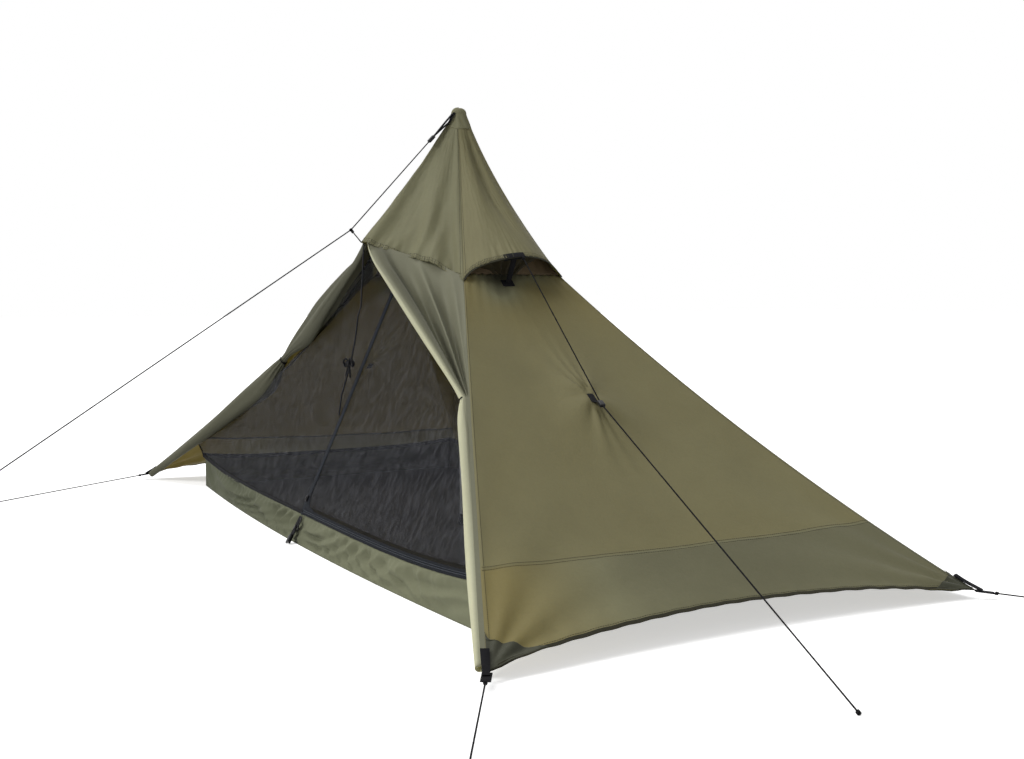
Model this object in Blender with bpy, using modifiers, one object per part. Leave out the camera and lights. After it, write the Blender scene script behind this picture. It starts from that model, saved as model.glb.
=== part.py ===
"""A solo pyramid tent: a nylon fly on one pole with its door rolled back, and a netting inner tent inside it.

Metres, +Z up. The origin is on the ground under the pole. The door faces -Y, and the long sides run along X.
Every cloth panel is a thin closed sheet over a square of (s, t): s runs across its face from -1 to 1, and t
along it from 0 to 1. Panels drop straight down by their thickness, so two of them meet on a vertical seam.
"""

import math

import bmesh
import bpy
from mathutils import Matrix, Vector
from mathutils.bvhtree import BVHTree

# The fly.
FLY_HALF_LENGTH = 1.381
FLY_HALF_WIDTH = 0.634
FLY_HEIGHT = 1.250
CORNER_HEIGHT = 0.021
TIP_HALF = 0.012
FLY_CLOTH = 0.003
CAP_CLOTH = 0.002
SEAT = 0.0003
RIDGE_SEAM = 0.00025

# The cap above the seam, with the door peak in front and a hood over the vent at each end.
CAP_SEAM_HEIGHT = 0.757
CAP_SPREAD = 0.22
CAP_FLARE = 1.3
PEAK_OUT = 0.170
PEAK_UP = 0.090
HOOD_OUT = 0.080
HOOD_UP = 0.045
HOOD_START = 1.5
CAP_ROWS = 9
APEX_CAP_LIFT = 0.006
APEX_CAP_CLOTH = 0.003

# The panels below the seam.
PANEL_START = 0.0015
RIDGE_SAG = 0.040
FACE_SAG = 0.018
SIDE_HEM_CUT = 0.047
SIDE_HEM_LIFT = 0.020
BACK_HEM_CUT = 0.080
BACK_HEM_LIFT = 0.020
PULL_OUT_SHARE = 0.39
PULL_OUT = 0.030
PULL_OUT_REACH_DOWN = 0.11
PULL_OUT_REACH_ACROSS = 0.28

# The rolled door flaps.
FLAP_CLOTH = 0.0015
FLAP_START = 0.0012
FLAP_END = 0.985
FLAP_TIE = 0.36
FLAP_SEAM_GAP = 0.0005
ROLL_HEAD = (0.012, -0.309, 0.830)
ROLL_SIDE_STEP = 0.012
ROLL_RADIUS_HEAD = 0.0075
ROLL_RADIUS_TIE = 0.0115
ROLL_RADIUS_BELLY = 0.0265
ROLL_RADIUS_END = 0.009
ROLL_SWELL = 0.06
ROLL_PITCH = 0.0035
ROLL_TURNS = 1.25
FLAP_FOLD = 0.012
FLAP_FOLDS = 2
TIE_CORD = 0.003

# The vents.
VENT_LINE = -0.030
VENT_MESH_SETBACK = 0.0006
VENT_MESH_CLOTH = 0.001
VENT_MESH_HEADROOM = 0.003
VENT_MESH_REACH = 0.80
STRUT_FOOT_SHARE = 0.030
VENT_PATCH_LIFT = 0.0008
STRUT_WIDTH = 0.015
STRUT_THICKNESS = 0.004
VENT_BASE_WIDTH = 0.036
VENT_BASE_DEPTH = 0.024
VENT_TAB_WIDTH = 0.056
VENT_TAB_LEAF = 0.016
VENT_STRAP = 0.002

# Webbing, cords and their fittings.
WEBBING = 0.0022
CORNER_TAB_LENGTH = 0.045
CORNER_TAB_WIDTH = 0.020
CORNER_GUYS = {"left": (-1.04, -1.26), "near": (1.75, -0.86), "right": (1.470, 0.762), "back": (-1.75, 0.86)}
APEX_STRAP_WIDTH = 0.015
APEX_STRAP_SHARE = 0.2015
APEX_STRAP_OUT = 0.0256
APEX_KNOT_OUT = 0.0332
APEX_KNOT_UP = 0.036
APEX_GUY_END = (0, -1.336, 0.234)
SIDE_STRAP_WIDTH = 0.018
SIDE_STRAP_SHARES = (0.5214, 0.5395)
SIDE_LOCK_SHARE = 0.572
SIDE_LOCK_Y = -0.010
SIDE_LOCK_HEIGHT = 0.433
SIDE_LOCK_STEP = 0.0026
SIDE_STRAP_CLEAR = 0.0014
SIDE_GUY_END = (1.830, -0.165)
LOCK_SIZE = (0.024, 0.014, 0.009)
LOCK_BEVEL = 0.0015
CORD = 0.002
KNOT = 0.005

# The inner tent.
INNER_HALF_LENGTH = 1.111
INNER_HALF_WIDTH = 0.493
FLOOR_CLOTH = 0.002
FLOOR_BOW = 0.045
RIM_HEIGHT = 0.109
RIM_SAG = {"front": 0.034, "right": 0.018, "back": 0.010, "left": 0.018}
WALL_CLOTH = 0.002
WALL_WRINKLE = 0.004
WALL_WRINKLES = 13.0
FLOOR_INSET = 0.0016
MESH_CLOTH = 0.0025
MESH_ROWS = 12
MESH_TOP = FLY_HEIGHT - 0.100
MESH_TOP_HALF = 0.022
MESH_WAIST = 2.2
MESH_BACK_FLARE = 1.45
ZIP_WIDTH = 0.026
SLIDER_SIZE = (0.018, 0.012, 0.006)
SLIDER_BEVEL = 0.0012
SLIDER_HEIGHT = 0.118
CROWN_PATCH = (0.048, 0.048, 0.0025)
DOOR_STRAP_WIDTH = 0.008
DOOR_STRAP_DROP = 0.0056
DOOR_STRAP = ((0.0042, 0.181), (0.0142, 0.210), (0.0242, 0.282), (0.0372, 0.342), (0.0672, 0.439))
DOOR_STRAP_INSET = 0.010
DOOR_STRAP_FOOT = (-0.022, 0.350)
DOOR_BOW_WIDTH = 0.011
DOOR_BOW_STEP = 0.0005
DOOR_BOW = ((-0.036, -0.010), (-0.014, -0.001), (0, 0), (0.015, 0.001), (0.037, -0.006))
RIM_STRAP_WIDTH = (0.014, 0.028)
RIM_STRAP_TOP = 0.070
RIM_STRAP_END = (0.030, -0.560, 0.003)

# The pole.
POLE_UPPER_RADIUS = 0.0095
POLE_UPPER_BORE = 0.0083
POLE_LOWER_RADIUS = 0.0080
POLE_LOWER_BORE = 0.0065
POLE_UPPER_LENGTH = 0.575
POLE_OVERLAP = 0.120
POLE_UPPER_HEAD = FLY_HEIGHT - 0.035
POLE_UPPER_FOOT = POLE_UPPER_HEAD - POLE_UPPER_LENGTH
POLE_LOWER_HEAD = POLE_UPPER_FOOT + POLE_OVERLAP
POLE_EASE = 0.002
POLE_COLLAR_RADIUS = 0.0125
POLE_COLLAR_HEIGHT = 0.045
POLE_FOOT_RADIUS = 0.0130
POLE_FOOT_HEIGHT = 0.030
POLE_FOOT_SOCKET = 0.018
POLE_TIP_RADIUS = 0.006
POLE_TIP_STEM = 0.025

OLIVE = (0.245, 0.235, 0.165)
TUB_OLIVE = (0.205, 0.215, 0.140)
BLACK = (0.015, 0.015, 0.017)
NETTING = (0.022, 0.022, 0.024)
RUBBER = (0.030, 0.030, 0.032)
ALUMINIUM = (0.60, 0.61, 0.62)

ALONG_X, ALONG_Y, ALONG_Z = Vector((1, 0, 0)), Vector((0, 1, 0)), Vector((0, 0, 1))


def mix(a, b, share):
    return a + (b - a) * share


def clear_scene():
    for obj in list(bpy.data.objects):
        bpy.data.objects.remove(obj, do_unlink=True)


def collection(name, hidden=False):
    made = bpy.data.collections.new(name)
    bpy.context.scene.collection.children.link(made)
    made.hide_render = hidden
    return made


def finish(name, colour, roughness, metallic=0.0):
    made = bpy.data.materials.new(name)
    made.use_nodes = True
    shader = made.node_tree.nodes["Principled BSDF"]
    shader.inputs["Base Color"].default_value = (*colour, 1)
    shader.inputs["Roughness"].default_value = roughness
    shader.inputs["Metallic"].default_value = metallic
    return made


def node(name, mesh, look):
    mesh.materials.append(look)
    obj = bpy.data.objects.new(name, mesh)
    TENT.objects.link(obj)
    return obj


def face_outwards(bm):
    bmesh.ops.recalc_face_normals(bm, faces=bm.faces)
    if bm.calc_volume(signed=True) < 0:
        bmesh.ops.reverse_faces(bm, faces=bm.faces)


def node_from(name, bm, look, smooth=True):
    face_outwards(bm)
    mesh = bpy.data.meshes.new(name)
    bm.to_mesh(mesh)
    bm.free()
    if smooth:
        mesh.shade_smooth()
        mesh.set_sharp_from_angle(angle=math.radians(40))
    return node(name, mesh, look)


def close_cone(bm):
    """Joins the grid's two side edges, and draws its top edge together in one point."""
    first = {round(v.co.y, 4): v for v in bm.verts if v.co.x < -0.999}
    bmesh.ops.weld_verts(bm, targetmap={v: first[round(v.co.y, 4)] for v in bm.verts if v.co.x > 0.999})
    top = [v for v in bm.verts if v.co.y > 0.999]
    bmesh.ops.weld_verts(bm, targetmap={v: top[0] for v in top[1:]})


def sheet(name, place, columns, rows, look, cone=False):
    """A closed thin sheet. place(s, t, side) gives a point of its outer face (side 0) or inner face (side 1)."""
    bm = bmesh.new()
    bmesh.ops.create_grid(bm, x_segments=columns, y_segments=rows, size=1)
    if cone:
        close_cone(bm)
    outer = bm.faces[:]
    inner = bmesh.ops.extrude_face_region(bm, geom=outer, use_keep_orig=True)["geom"]
    bmesh.ops.translate(bm, vec=ALONG_Z, verts=[v for v in inner if isinstance(v, bmesh.types.BMVert)])
    for vert in bm.verts:
        s, t, side = vert.co
        vert.co = place(s, (t + 1) / 2, round(side))
    return node_from(name, bm, look)


def ribbon(name, points, across, width, thickness, look, end_width=None):
    """A flat strap along points. across is the direction of its width; it lies centred on its route."""
    points = [Vector(p) for p in points]
    end_width = width if end_width is None else end_width

    def place(s, t, side):
        step = t * (len(points) - 1)
        k = min(int(step + 1e-9), len(points) - 2)
        here = points[k].lerp(points[k + 1], step - k)
        before, after = points[max(k - (step - k < 1e-6), 0)], points[k + 1]
        normal = across.cross(after - before).normalized()
        half = mix(width, end_width, t) / 2
        return here + across * (s * half) + normal * (thickness * (0.5 - side))

    return sheet(name, place, 2, len(points) - 1, look)


def tube(name, points, diameter, look, radii=None):
    """A round cord along points. radii scales it at each point, as where it ends in a knot."""
    curve = bpy.data.curves.new(name, "CURVE")
    curve.dimensions = "3D"
    curve.bevel_depth = diameter / 2
    curve.bevel_resolution = 2
    curve.use_fill_caps = True
    spline = curve.splines.new("POLY")
    spline.points.add(len(points) - 1)
    for k, point in enumerate(points):
        spline.points[k].co = (*point, 1)
        spline.points[k].radius = radii[k] if radii else 1
    return node(name, curve, look)


def cord(name, points, pieces, knots):
    """A taut cord through points, in equal pieces between them. It swells into a knot at each point in knots."""
    points = [Vector(p) for p in points]
    last = len(points) - 1
    swell = KNOT / CORD
    knot_shapes = {
        0: ((0, 1), (0.5, swell), (1.5, swell), (2, 1)),
        last: ((-2, 1), (-1.5, swell), (-0.5, swell), (0, 1)),
    }
    route, radii = [], []
    for k, point in enumerate(points):
        shape = knot_shapes.get(k, ((-1, 1), (-0.5, 2.5), (0.5, 2.5), (1, 1))) if k in knots else ((0, 1),)
        for step, radius in shape:
            towards = points[min(k + 1, last)] - point if step > 0 else point - points[max(k - 1, 0)]
            route.append(point + towards.normalized() * (step * KNOT) if step else point)
            radii.append(radius)
        if k < last:
            route += [point.lerp(points[k + 1], i / pieces) for i in range(1, pieces)]
            radii += [1] * (pieces - 1)
    return tube(name, route, CORD, CORD_LOOK, radii)


def block(name, size, place, look, bevel=0.0):
    """A box of the given size, put in place by a matrix, with its edges rounded by bevel."""
    bm = bmesh.new()
    bmesh.ops.create_cube(bm, size=1, matrix=Matrix.Diagonal((*size, 1)))
    if bevel:
        bmesh.ops.bevel(bm, geom=bm.edges[:], offset=bevel, segments=2, profile=0.5, affect="EDGES")
    bmesh.ops.transform(bm, matrix=place, verts=bm.verts)
    return node_from(name, bm, look)


def turned(name, profile, look, steps=24):
    """A turned piece about the Z axis. The profile runs down its outer side and back up its bore."""
    mesh = bpy.data.meshes.new(name)
    points = [(r, 0, z) for r, z in profile]
    count = len(points)
    mesh.from_pydata(points, [(k, (k + 1) % count) for k in range(count if profile[0][0] else count - 1)], [])
    obj = node(name, mesh, look)
    screw = obj.modifiers.new("Screw", "SCREW")
    screw.axis = "Z"
    screw.steps = screw.render_steps = steps
    screw.use_merge_vertices = True
    screw.merge_threshold = 0.00001
    screw.use_smooth_shade = False
    return obj


def cut(obj, bm):
    """Cuts the solid bm from obj."""
    face_outwards(bm)
    mesh = bpy.data.meshes.new(obj.name + "_cutter")
    bm.to_mesh(mesh)
    bm.free()
    cutter = bpy.data.objects.new(mesh.name, mesh)
    cutter.hide_render = True
    cutter.display_type = "WIRE"
    CUTTERS.objects.link(cutter)
    boolean = obj.modifiers.new("Cut", "BOOLEAN")
    boolean.operation = "DIFFERENCE"
    boolean.solver = "EXACT"
    boolean.object = cutter


def frame_at(point, forward, up):
    """A matrix whose X axis runs along forward and whose Z axis is as near to up as it can be."""
    x = Vector(forward).normalized()
    y = Vector(up).cross(x).normalized()
    return Matrix.Translation(point) @ Matrix((x, y, x.cross(y))).transposed().to_4x4()


def hit(name, start, direction):
    """Where a line from start first meets a sheet."""
    mesh = bpy.data.objects[name].data
    tree = BVHTree.FromPolygons([v.co for v in mesh.vertices], [tuple(p.vertices) for p in mesh.polygons])
    return tree.ray_cast(Vector(start), Vector(direction))[0]


def on_face(face, s, half_x, half_y, out, z):
    """The point at s across one face of a rectangular pyramid, out metres in front of it."""
    return {
        "front": Vector((s * half_x, -half_y - out, z)),
        "right": Vector((half_x + out, s * half_y, z)),
        "back": Vector((s * half_x, half_y + out, z)),
        "left": Vector((-half_x - out, s * half_y, z)),
    }[face]


def plan_half(spread):
    return mix(TIP_HALF, FLY_HALF_LENGTH, spread), mix(TIP_HALF, FLY_HALF_WIDTH, spread)


def seam_share(face, half_x, half_y):
    """How far s reaches on a face, so that two neighbours keep their gap on the ridge."""
    return 1 - RIDGE_SEAM / (half_x if face in ("front", "back") else half_y)


def cap_point(face, s, v, seamed=True):
    """The outer face of the cap at s across a face and v of the way from the tip to the seam."""
    half_x, half_y = plan_half(CAP_SPREAD * v**CAP_FLARE)
    out = up = 0.0
    if face == "front":
        out, up = PEAK_OUT * v * (1 - abs(s)), PEAK_UP * v * (1 - abs(s))
    elif face in ("right", "left"):
        belly = v**HOOD_START * (1 - s * s)
        out, up = HOOD_OUT * belly, HOOD_UP * belly
    if seamed:
        s *= seam_share(face, half_x, half_y)
    return on_face(face, s, half_x, half_y, out, mix(FLY_HEIGHT - APEX_CAP_LIFT, CAP_SEAM_HEIGHT, v) + up)


def ridge_height(v):
    return mix(CAP_SEAM_HEIGHT, CORNER_HEIGHT, v) - 4 * RIDGE_SAG * v * (1 - v)


def panel_point(face, s, v):
    """The outer face of a panel at s across and v of the way from the seam down to the corners."""
    half_x, half_y = plan_half(mix(CAP_SPREAD, 1, v))
    middle = 1 - s * s
    z = ridge_height(v) - FACE_SAG * middle * math.sin(math.pi * v)
    if face == "back":
        z += BACK_HEM_LIFT * middle * v**6
    else:
        z += SIDE_HEM_LIFT * middle * v**6
        down, over = (v - PULL_OUT_SHARE) / PULL_OUT_REACH_DOWN, s / PULL_OUT_REACH_ACROSS
        z += PULL_OUT * math.exp(-down * down - over * over) * middle
    return on_face(face, s * seam_share(face, half_x, half_y), half_x, half_y, 0, z)


def ridge_point(v):
    """The front right ridge line below the seam."""
    half_x, half_y = plan_half(mix(CAP_SPREAD, 1, v))
    return Vector((half_x, -half_y, ridge_height(v)))


def mirrored(point):
    return Vector((-point[0], point[1], point[2]))


def make_caps():
    for face in ("front", "right", "back", "left"):

        def place(s, t, side, face=face):
            return cap_point(face, s, 1 - t) - ALONG_Z * (CAP_CLOTH * side)

        sheet("cap_" + face, place, 20 if face != "back" else 8, CAP_ROWS, FLY_LOOK)


def make_apex_cap():
    """A reinforcing patch over the tip: it follows the cap's four faces, and a flat top closes it."""

    def place(s, t, side):
        turn = (s + 1) * 2 % 4
        face = ("front", "right", "back", "left")[int(turn)]
        across = 2 * (turn % 1) - 1
        if face in ("back", "left"):
            across = -across
        top, row = (cap_point(face, across, v, seamed=False) for v in (0, 1 / CAP_ROWS))
        point = row.lerp(top, min(t / 0.75, 1))
        inwards = 1 - max(t - 0.75, 0) / 0.25
        return Vector((point.x * inwards, point.y * inwards, point.z + APEX_CAP_LIFT - APEX_CAP_CLOTH * side))

    sheet("apex_cap", place, 16, 4, FLY_LOOK, cone=True)


def make_panels():
    for face in ("right", "back", "left"):
        cut_share = BACK_HEM_CUT if face == "back" else SIDE_HEM_CUT

        def place(s, t, side, face=face, cut_share=cut_share):
            v = mix(1 - cut_share * (1 - s * s), PANEL_START, t)
            return panel_point(face, s, v) - ALONG_Z * (FLY_CLOTH * side)

        sheet("panel_" + face, place, 14, 14, FLY_LOOK)


def roll_radius(w):
    if w < FLAP_TIE:
        return mix(ROLL_RADIUS_HEAD, ROLL_RADIUS_TIE, w / FLAP_TIE)
    below = (w - FLAP_TIE) / (1 - FLAP_TIE)
    swell = 1 - math.exp(-below / ROLL_SWELL)
    return mix(ROLL_RADIUS_TIE, mix(ROLL_RADIUS_BELLY, ROLL_RADIUS_END, below), swell)


def ridge_side():
    """The level direction from the front right ridge towards the doorway."""
    return Vector((-FLY_HALF_WIDTH + TIP_HALF, -FLY_HALF_LENGTH + TIP_HALF, 0)).normalized()


def roll_line(w):
    """The line along which the rolled flap leaves its flat part."""
    tie = ridge_point(FLAP_TIE) + ridge_side() * ROLL_SIDE_STEP
    if w < FLAP_TIE:
        return Vector(ROLL_HEAD).lerp(tie, w / FLAP_TIE)
    return ridge_point(w) + ridge_side() * ROLL_SIDE_STEP


def roll_frame(w):
    """The flap's edge on the ridge, the direction across the flap and the outward normal there."""
    edge = ridge_point(w) + ridge_side() * FLAP_SEAM_GAP
    across = (roll_line(w) - edge).normalized()
    along = roll_line(w + 0.004) - roll_line(w - 0.004)
    outward = along.cross(across).normalized()
    return edge, across, outward


def flap_point(s, t, side):
    """The right flap: flat from the ridge to its roll, then wound outwards on itself."""
    flat_share = 0.34
    p = (s + 1) / 2
    w = mix(FLAP_START, FLAP_TIE, t * 2) if t < 0.5 else mix(FLAP_TIE, FLAP_END, (2 * t - 1) ** 1.5)
    edge, across, outward = roll_frame(w)
    line, radius = roll_line(w), roll_radius(w)
    if p <= flat_share:
        f = p / flat_share
        fold = FLAP_FOLD * math.sin(math.pi * min(w / FLAP_TIE, 1)) * math.sin(math.pi * FLAP_FOLDS * f) ** 2
        return edge.lerp(line, f) + outward * (fold + FLAP_CLOTH * side)
    turn = (p - flat_share) / (1 - flat_share) * ROLL_TURNS
    angle = 2 * math.pi * turn - math.pi / 2
    reach = radius - ROLL_PITCH * turn * (radius / ROLL_RADIUS_TIE) ** 0.5 - FLAP_CLOTH * side
    return line + outward * radius + (across * math.cos(angle) + outward * math.sin(angle)) * reach


def make_flaps():
    sheet("flap_right", flap_point, 22, 24, FLY_LOOK)
    sheet("flap_left", lambda s, t, side: mirrored(flap_point(s, t, side)), 22, 24, FLY_LOOK)


def make_tiebacks():
    """A loop of elastic cord round each roll at its tie, open where it is sewn to the ridge."""
    line, radius = roll_line(FLAP_TIE), roll_radius(FLAP_TIE)
    edge, across, outward = roll_frame(FLAP_TIE)
    centre = line + outward * radius
    reach = radius + TIE_CORD / 2 + SEAT * 3
    loop = []
    for k in range(17):
        angle = math.radians(mix(-62, 215, k / 16))
        loop.append(centre + (across * math.cos(angle) + outward * math.sin(angle)) * reach)
    tube("tieback_right", loop, TIE_CORD, CORD_LOOK)
    tube("tieback_left", [mirrored(p) for p in loop], TIE_CORD, CORD_LOOK)


def hood_height_at(x, y):
    """The height of the hood's inner face over a point of the plan, found by halving."""
    low, high = 0.3, 1.0
    for _ in range(30):
        v = (low + high) / 2
        s = max(min(y / plan_half(CAP_SPREAD * v**CAP_FLARE)[1], 1), -1)
        low, high = (v, high) if cap_point("right", s, v).x < x else (low, v)
    return cap_point("right", s, low).z - CAP_CLOTH


def vent_point(s, t, side):
    """The netting that stands in a vent, from behind the panel's top edge up to the hood."""
    foot = panel_point("right", s * VENT_MESH_REACH, PANEL_START)
    x = foot.x - VENT_MESH_SETBACK
    low, high = foot.z - FLY_CLOTH, hood_height_at(x, foot.y) - VENT_MESH_HEADROOM
    return Vector((x - VENT_MESH_CLOTH * side, foot.y, mix(low, high, t)))


def brim_frame(y):
    """The hood's brim at y, the direction up the cap from it, and the cap's outward normal there."""
    brim, row = (
        cap_point("right", y / plan_half(CAP_SPREAD * v**CAP_FLARE)[1], v) for v in (1, 1 - 1 / CAP_ROWS)
    )
    inward = Vector((row.x - brim.x, 0, row.z - brim.z)).normalized()
    return brim, inward, ALONG_Y.cross(inward)


def make_vents():
    """At each end: netting, a strap over the hood's brim, and a strut on a patch that holds the brim up."""
    cloth = CAP_CLOTH + 4 * SEAT
    leaf = VENT_STRAP / 2 + 2 * SEAT

    def tab_point(s, t, side):
        here, inward, out = brim_frame(VENT_LINE + s * VENT_TAB_WIDTH / 2)
        nose = -leaf - CAP_CLOTH * inward.z
        under = -cloth - leaf
        wrap = [(VENT_TAB_LEAF, leaf), (nose, leaf), (nose, -cloth / 2), (nose, under), (VENT_TAB_LEAF, under)]
        facing = [(0, 1), (0, 1), (-1, 0), (0, -1), (0, -1)][round(t * 4)]
        along, height = wrap[round(t * 4)]
        half = VENT_STRAP / 2 * (1 - 2 * side)
        return here + inward * (along + facing[0] * half) + out * (height + facing[1] * half)

    half = STRUT_THICKNESS / 2
    foot_s = VENT_LINE / plan_half(mix(CAP_SPREAD, 1, STRUT_FOOT_SHARE))[1]
    above, foot, below = (panel_point("right", foot_s, STRUT_FOOT_SHARE + step) for step in (-0.01, 0, 0.01))
    slope = Vector((below.x - above.x, 0, below.z - above.z)).normalized()
    up = slope.cross(ALONG_Y)
    patch_seat = foot + up * (VENT_PATCH_LIFT + VENT_STRAP / 2)
    axis = patch_seat + up * (VENT_STRAP / 2 + SEAT + half)
    brim, inward, out = brim_frame(VENT_LINE - STRUT_WIDTH / 2)
    corner = brim - out * (cloth + leaf + VENT_STRAP / 2 + 2 * SEAT)
    corner.y = VENT_LINE
    reach = corner - axis
    turn = math.asin(half / reach.length)
    lean = Matrix.Rotation(-turn, 3, "Y") @ reach.normalized()
    length = reach.length * math.cos(turn)
    patch = frame_at(patch_seat, slope, up)

    for side_name, sign in (("right", 1), ("left", -1)):
        flip = Matrix.Diagonal((sign, 1, 1, 1))
        sheet("vent_mesh_" + side_name, lambda s, t, side: flip @ vent_point(s, t, side), 10, 3, MESH_LOOK)
        sheet("vent_tab_" + side_name, lambda s, t, side: flip @ tab_point(s, t, side), 6, 4, WEB_LOOK)
        block("vent_base_" + side_name, (VENT_BASE_DEPTH, VENT_BASE_WIDTH, VENT_STRAP), flip @ patch, WEB_LOOK)
        make_strut("vent_strut_" + side_name, flip, axis, lean, length)


def make_strut(name, flip, axis, lean, length):
    """A flat stiffener with a round foot, which is its hinge, and a square top."""
    bm = bmesh.new()
    across = ALONG_Y.cross(lean) * (STRUT_THICKNESS / 2)
    outline = [axis + lean * length + across, axis + lean * length - across]
    for k in range(9):
        angle = math.pi * k / 8
        outline.append(axis - across * math.cos(angle) - lean * (math.sin(angle) * STRUT_THICKNESS / 2))
    near = [bm.verts.new(flip @ (p + ALONG_Y * (-STRUT_WIDTH / 2))) for p in outline]
    face = bm.faces.new(near)
    far = bmesh.ops.extrude_face_region(bm, geom=[face], use_keep_orig=True)["geom"]
    far_verts = [v for v in far if isinstance(v, bmesh.types.BMVert)]
    bmesh.ops.translate(bm, vec=ALONG_Y * STRUT_WIDTH, verts=far_verts)
    node_from(name, bm, WEB_LOOK)


def make_corners():
    """A webbing tab off each corner, and the guys of the three corners that have one."""
    for name, (x, y) in CORNER_GUYS.items():
        half_x, half_y = math.copysign(FLY_HALF_LENGTH, x), math.copysign(FLY_HALF_WIDTH, y)
        corner = Vector((half_x, half_y, CORNER_HEIGHT - FLY_CLOTH / 2))
        end = Vector((x, y, KNOT / 2 + SEAT))
        pull = (end - corner).normalized()
        middle = corner + pull * (SEAT + CORNER_TAB_LENGTH / 2)
        size = (CORNER_TAB_LENGTH, CORNER_TAB_WIDTH, WEBBING)
        block("corner_tab_" + name, size, frame_at(middle, pull, ALONG_Z), WEB_LOOK)
        if name != "back":
            start = corner + pull * (2 * SEAT + CORNER_TAB_LENGTH)
            cord("corner_guy_" + name, (start, end), 9, knots=(0, 1))


def make_apex_guy():
    """The strap sewn to the tip, the cord lock on its end, and the guy with its branch to the door peak."""
    top, row = (cap_point("front", 0, v, seamed=False) + ALONG_Z * APEX_CAP_LIFT for v in (0, 1 / CAP_ROWS))
    out = (row - top).normalized().cross(ALONG_X)
    route = [top.lerp(row, share) + out * (WEBBING / 2 + SEAT) for share in (0.35, 0.98)]
    strap_end = cap_point("front", 0, APEX_STRAP_SHARE) - ALONG_Y * APEX_STRAP_OUT
    ribbon("apex_webbing", [*route, strap_end], ALONG_X, APEX_STRAP_WIDTH, WEBBING, WEB_LOOK)
    peak, end = cap_point("front", 0, 1), Vector(APEX_GUY_END)
    knot = peak + Vector((0, -APEX_KNOT_OUT, APEX_KNOT_UP))
    pull = (knot - strap_end).normalized()
    middle = strap_end + pull * (2 * SEAT + LOCK_SIZE[0] / 2)
    block("apex_cord_lock", LOCK_SIZE, frame_at(middle, pull, ALONG_Z), PLASTIC_LOOK, LOCK_BEVEL)
    start = middle + pull * (LOCK_SIZE[0] / 2 + SEAT)
    cord("apex_guy", (start, knot, end), 10, knots=(1, 2))
    edge = peak - ALONG_Y * (CORD / 2)
    branch = (edge - knot).normalized()
    cord("peak_guy", (knot + branch * (KNOT / 2 + SEAT), edge), 4, knots=())


def make_side_guy():
    """The strap at each end panel's pull-out, and at the right the guy that ties the hood's brim to it."""
    lift = ALONG_Z * (WEBBING / 2 + 3 * SEAT)
    above = [Vector((share * FLY_HALF_LENGTH, 0, FLY_HEIGHT)) for share in SIDE_STRAP_SHARES]
    seat = [hit("panel_right", point, -ALONG_Z) + lift for point in above]
    middle = Vector((SIDE_LOCK_SHARE * FLY_HALF_LENGTH, SIDE_LOCK_Y, SIDE_LOCK_HEIGHT))
    end = Vector((*SIDE_GUY_END, KNOT / 2 + SEAT))
    pull = (end - middle).normalized()
    lock = frame_at(middle, pull, ALONG_Z)
    up = lock.col[2].to_3d()
    behind = middle - pull * (LOCK_SIZE[0] / 2 + 2 * SEAT)
    strap_end = behind - up * SIDE_LOCK_STEP - pull * SIDE_STRAP_CLEAR
    ribbon("side_tab_right", [*seat, strap_end], ALONG_Y, SIDE_STRAP_WIDTH, WEBBING, WEB_LOOK)
    ribbon("side_tab_left", [mirrored(p) for p in seat], ALONG_Y, SIDE_STRAP_WIDTH, WEBBING, WEB_LOOK)
    block("side_cord_lock", LOCK_SIZE, lock, PLASTIC_LOOK, LOCK_BEVEL)
    cord("side_guy_lower", (middle + pull * (LOCK_SIZE[0] / 2 + SEAT), end), 14, knots=(1,))
    foot = behind + up * SIDE_LOCK_STEP
    bend = foot - pull * (2 * CORD)
    brim = cap_point("right", 0, 1) + ALONG_Y * SIDE_LOCK_Y
    top = hit("vent_tab_right", bend, brim - bend)
    start = top + (bend - top).normalized() * (2 * SEAT)
    cord("side_guy_upper", (start, bend, foot), 8, knots=())


def rim_height(face, u):
    """The height of the tub's rim at u across a face, from -1 to 1."""
    return RIM_HEIGHT - RIM_SAG[face] * (1 - u**4)


def mesh_share(z):
    return (z - RIM_HEIGHT) / (MESH_TOP - RIM_HEIGHT)


def mesh_half_x(w):
    """Half the length of the netting at w of the way up from the rim."""
    w = max(w, 0)
    return MESH_TOP_HALF + (INNER_HALF_LENGTH - MESH_TOP_HALF) * (1 - w) ** (1 + MESH_WAIST * w)


def mesh_front(w):
    return -MESH_TOP_HALF - (INNER_HALF_WIDTH - MESH_TOP_HALF) * (1 - w)


def mesh_back(w):
    return MESH_TOP_HALF + (INNER_HALF_WIDTH - MESH_TOP_HALF) * max(1 - w, 0) ** MESH_BACK_FLARE


def wall_point(face, s, t, side):
    """A wall of the tub. The long ones lean to the netting at their rims, and the front one bows out below."""
    half_x, half_y = INNER_HALF_LENGTH - WALL_CLOTH * side, INNER_HALF_WIDTH - WALL_CLOTH * side
    rim = rim_height(face, s)
    out = WALL_WRINKLE * math.sin(math.pi * t) * math.sin(WALL_WRINKLES * s) * (1 - s**4)
    if face == "front":
        out += mix(FLOOR_BOW * (1 - s * s), -mesh_front(mesh_share(rim)) - INNER_HALF_WIDTH, t)
    elif face == "back":
        out += (mesh_back(mesh_share(rim)) - INNER_HALF_WIDTH) * t
    return on_face(face, s * seam_share(face, half_x, half_y), half_x, half_y, out, rim * t)


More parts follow.
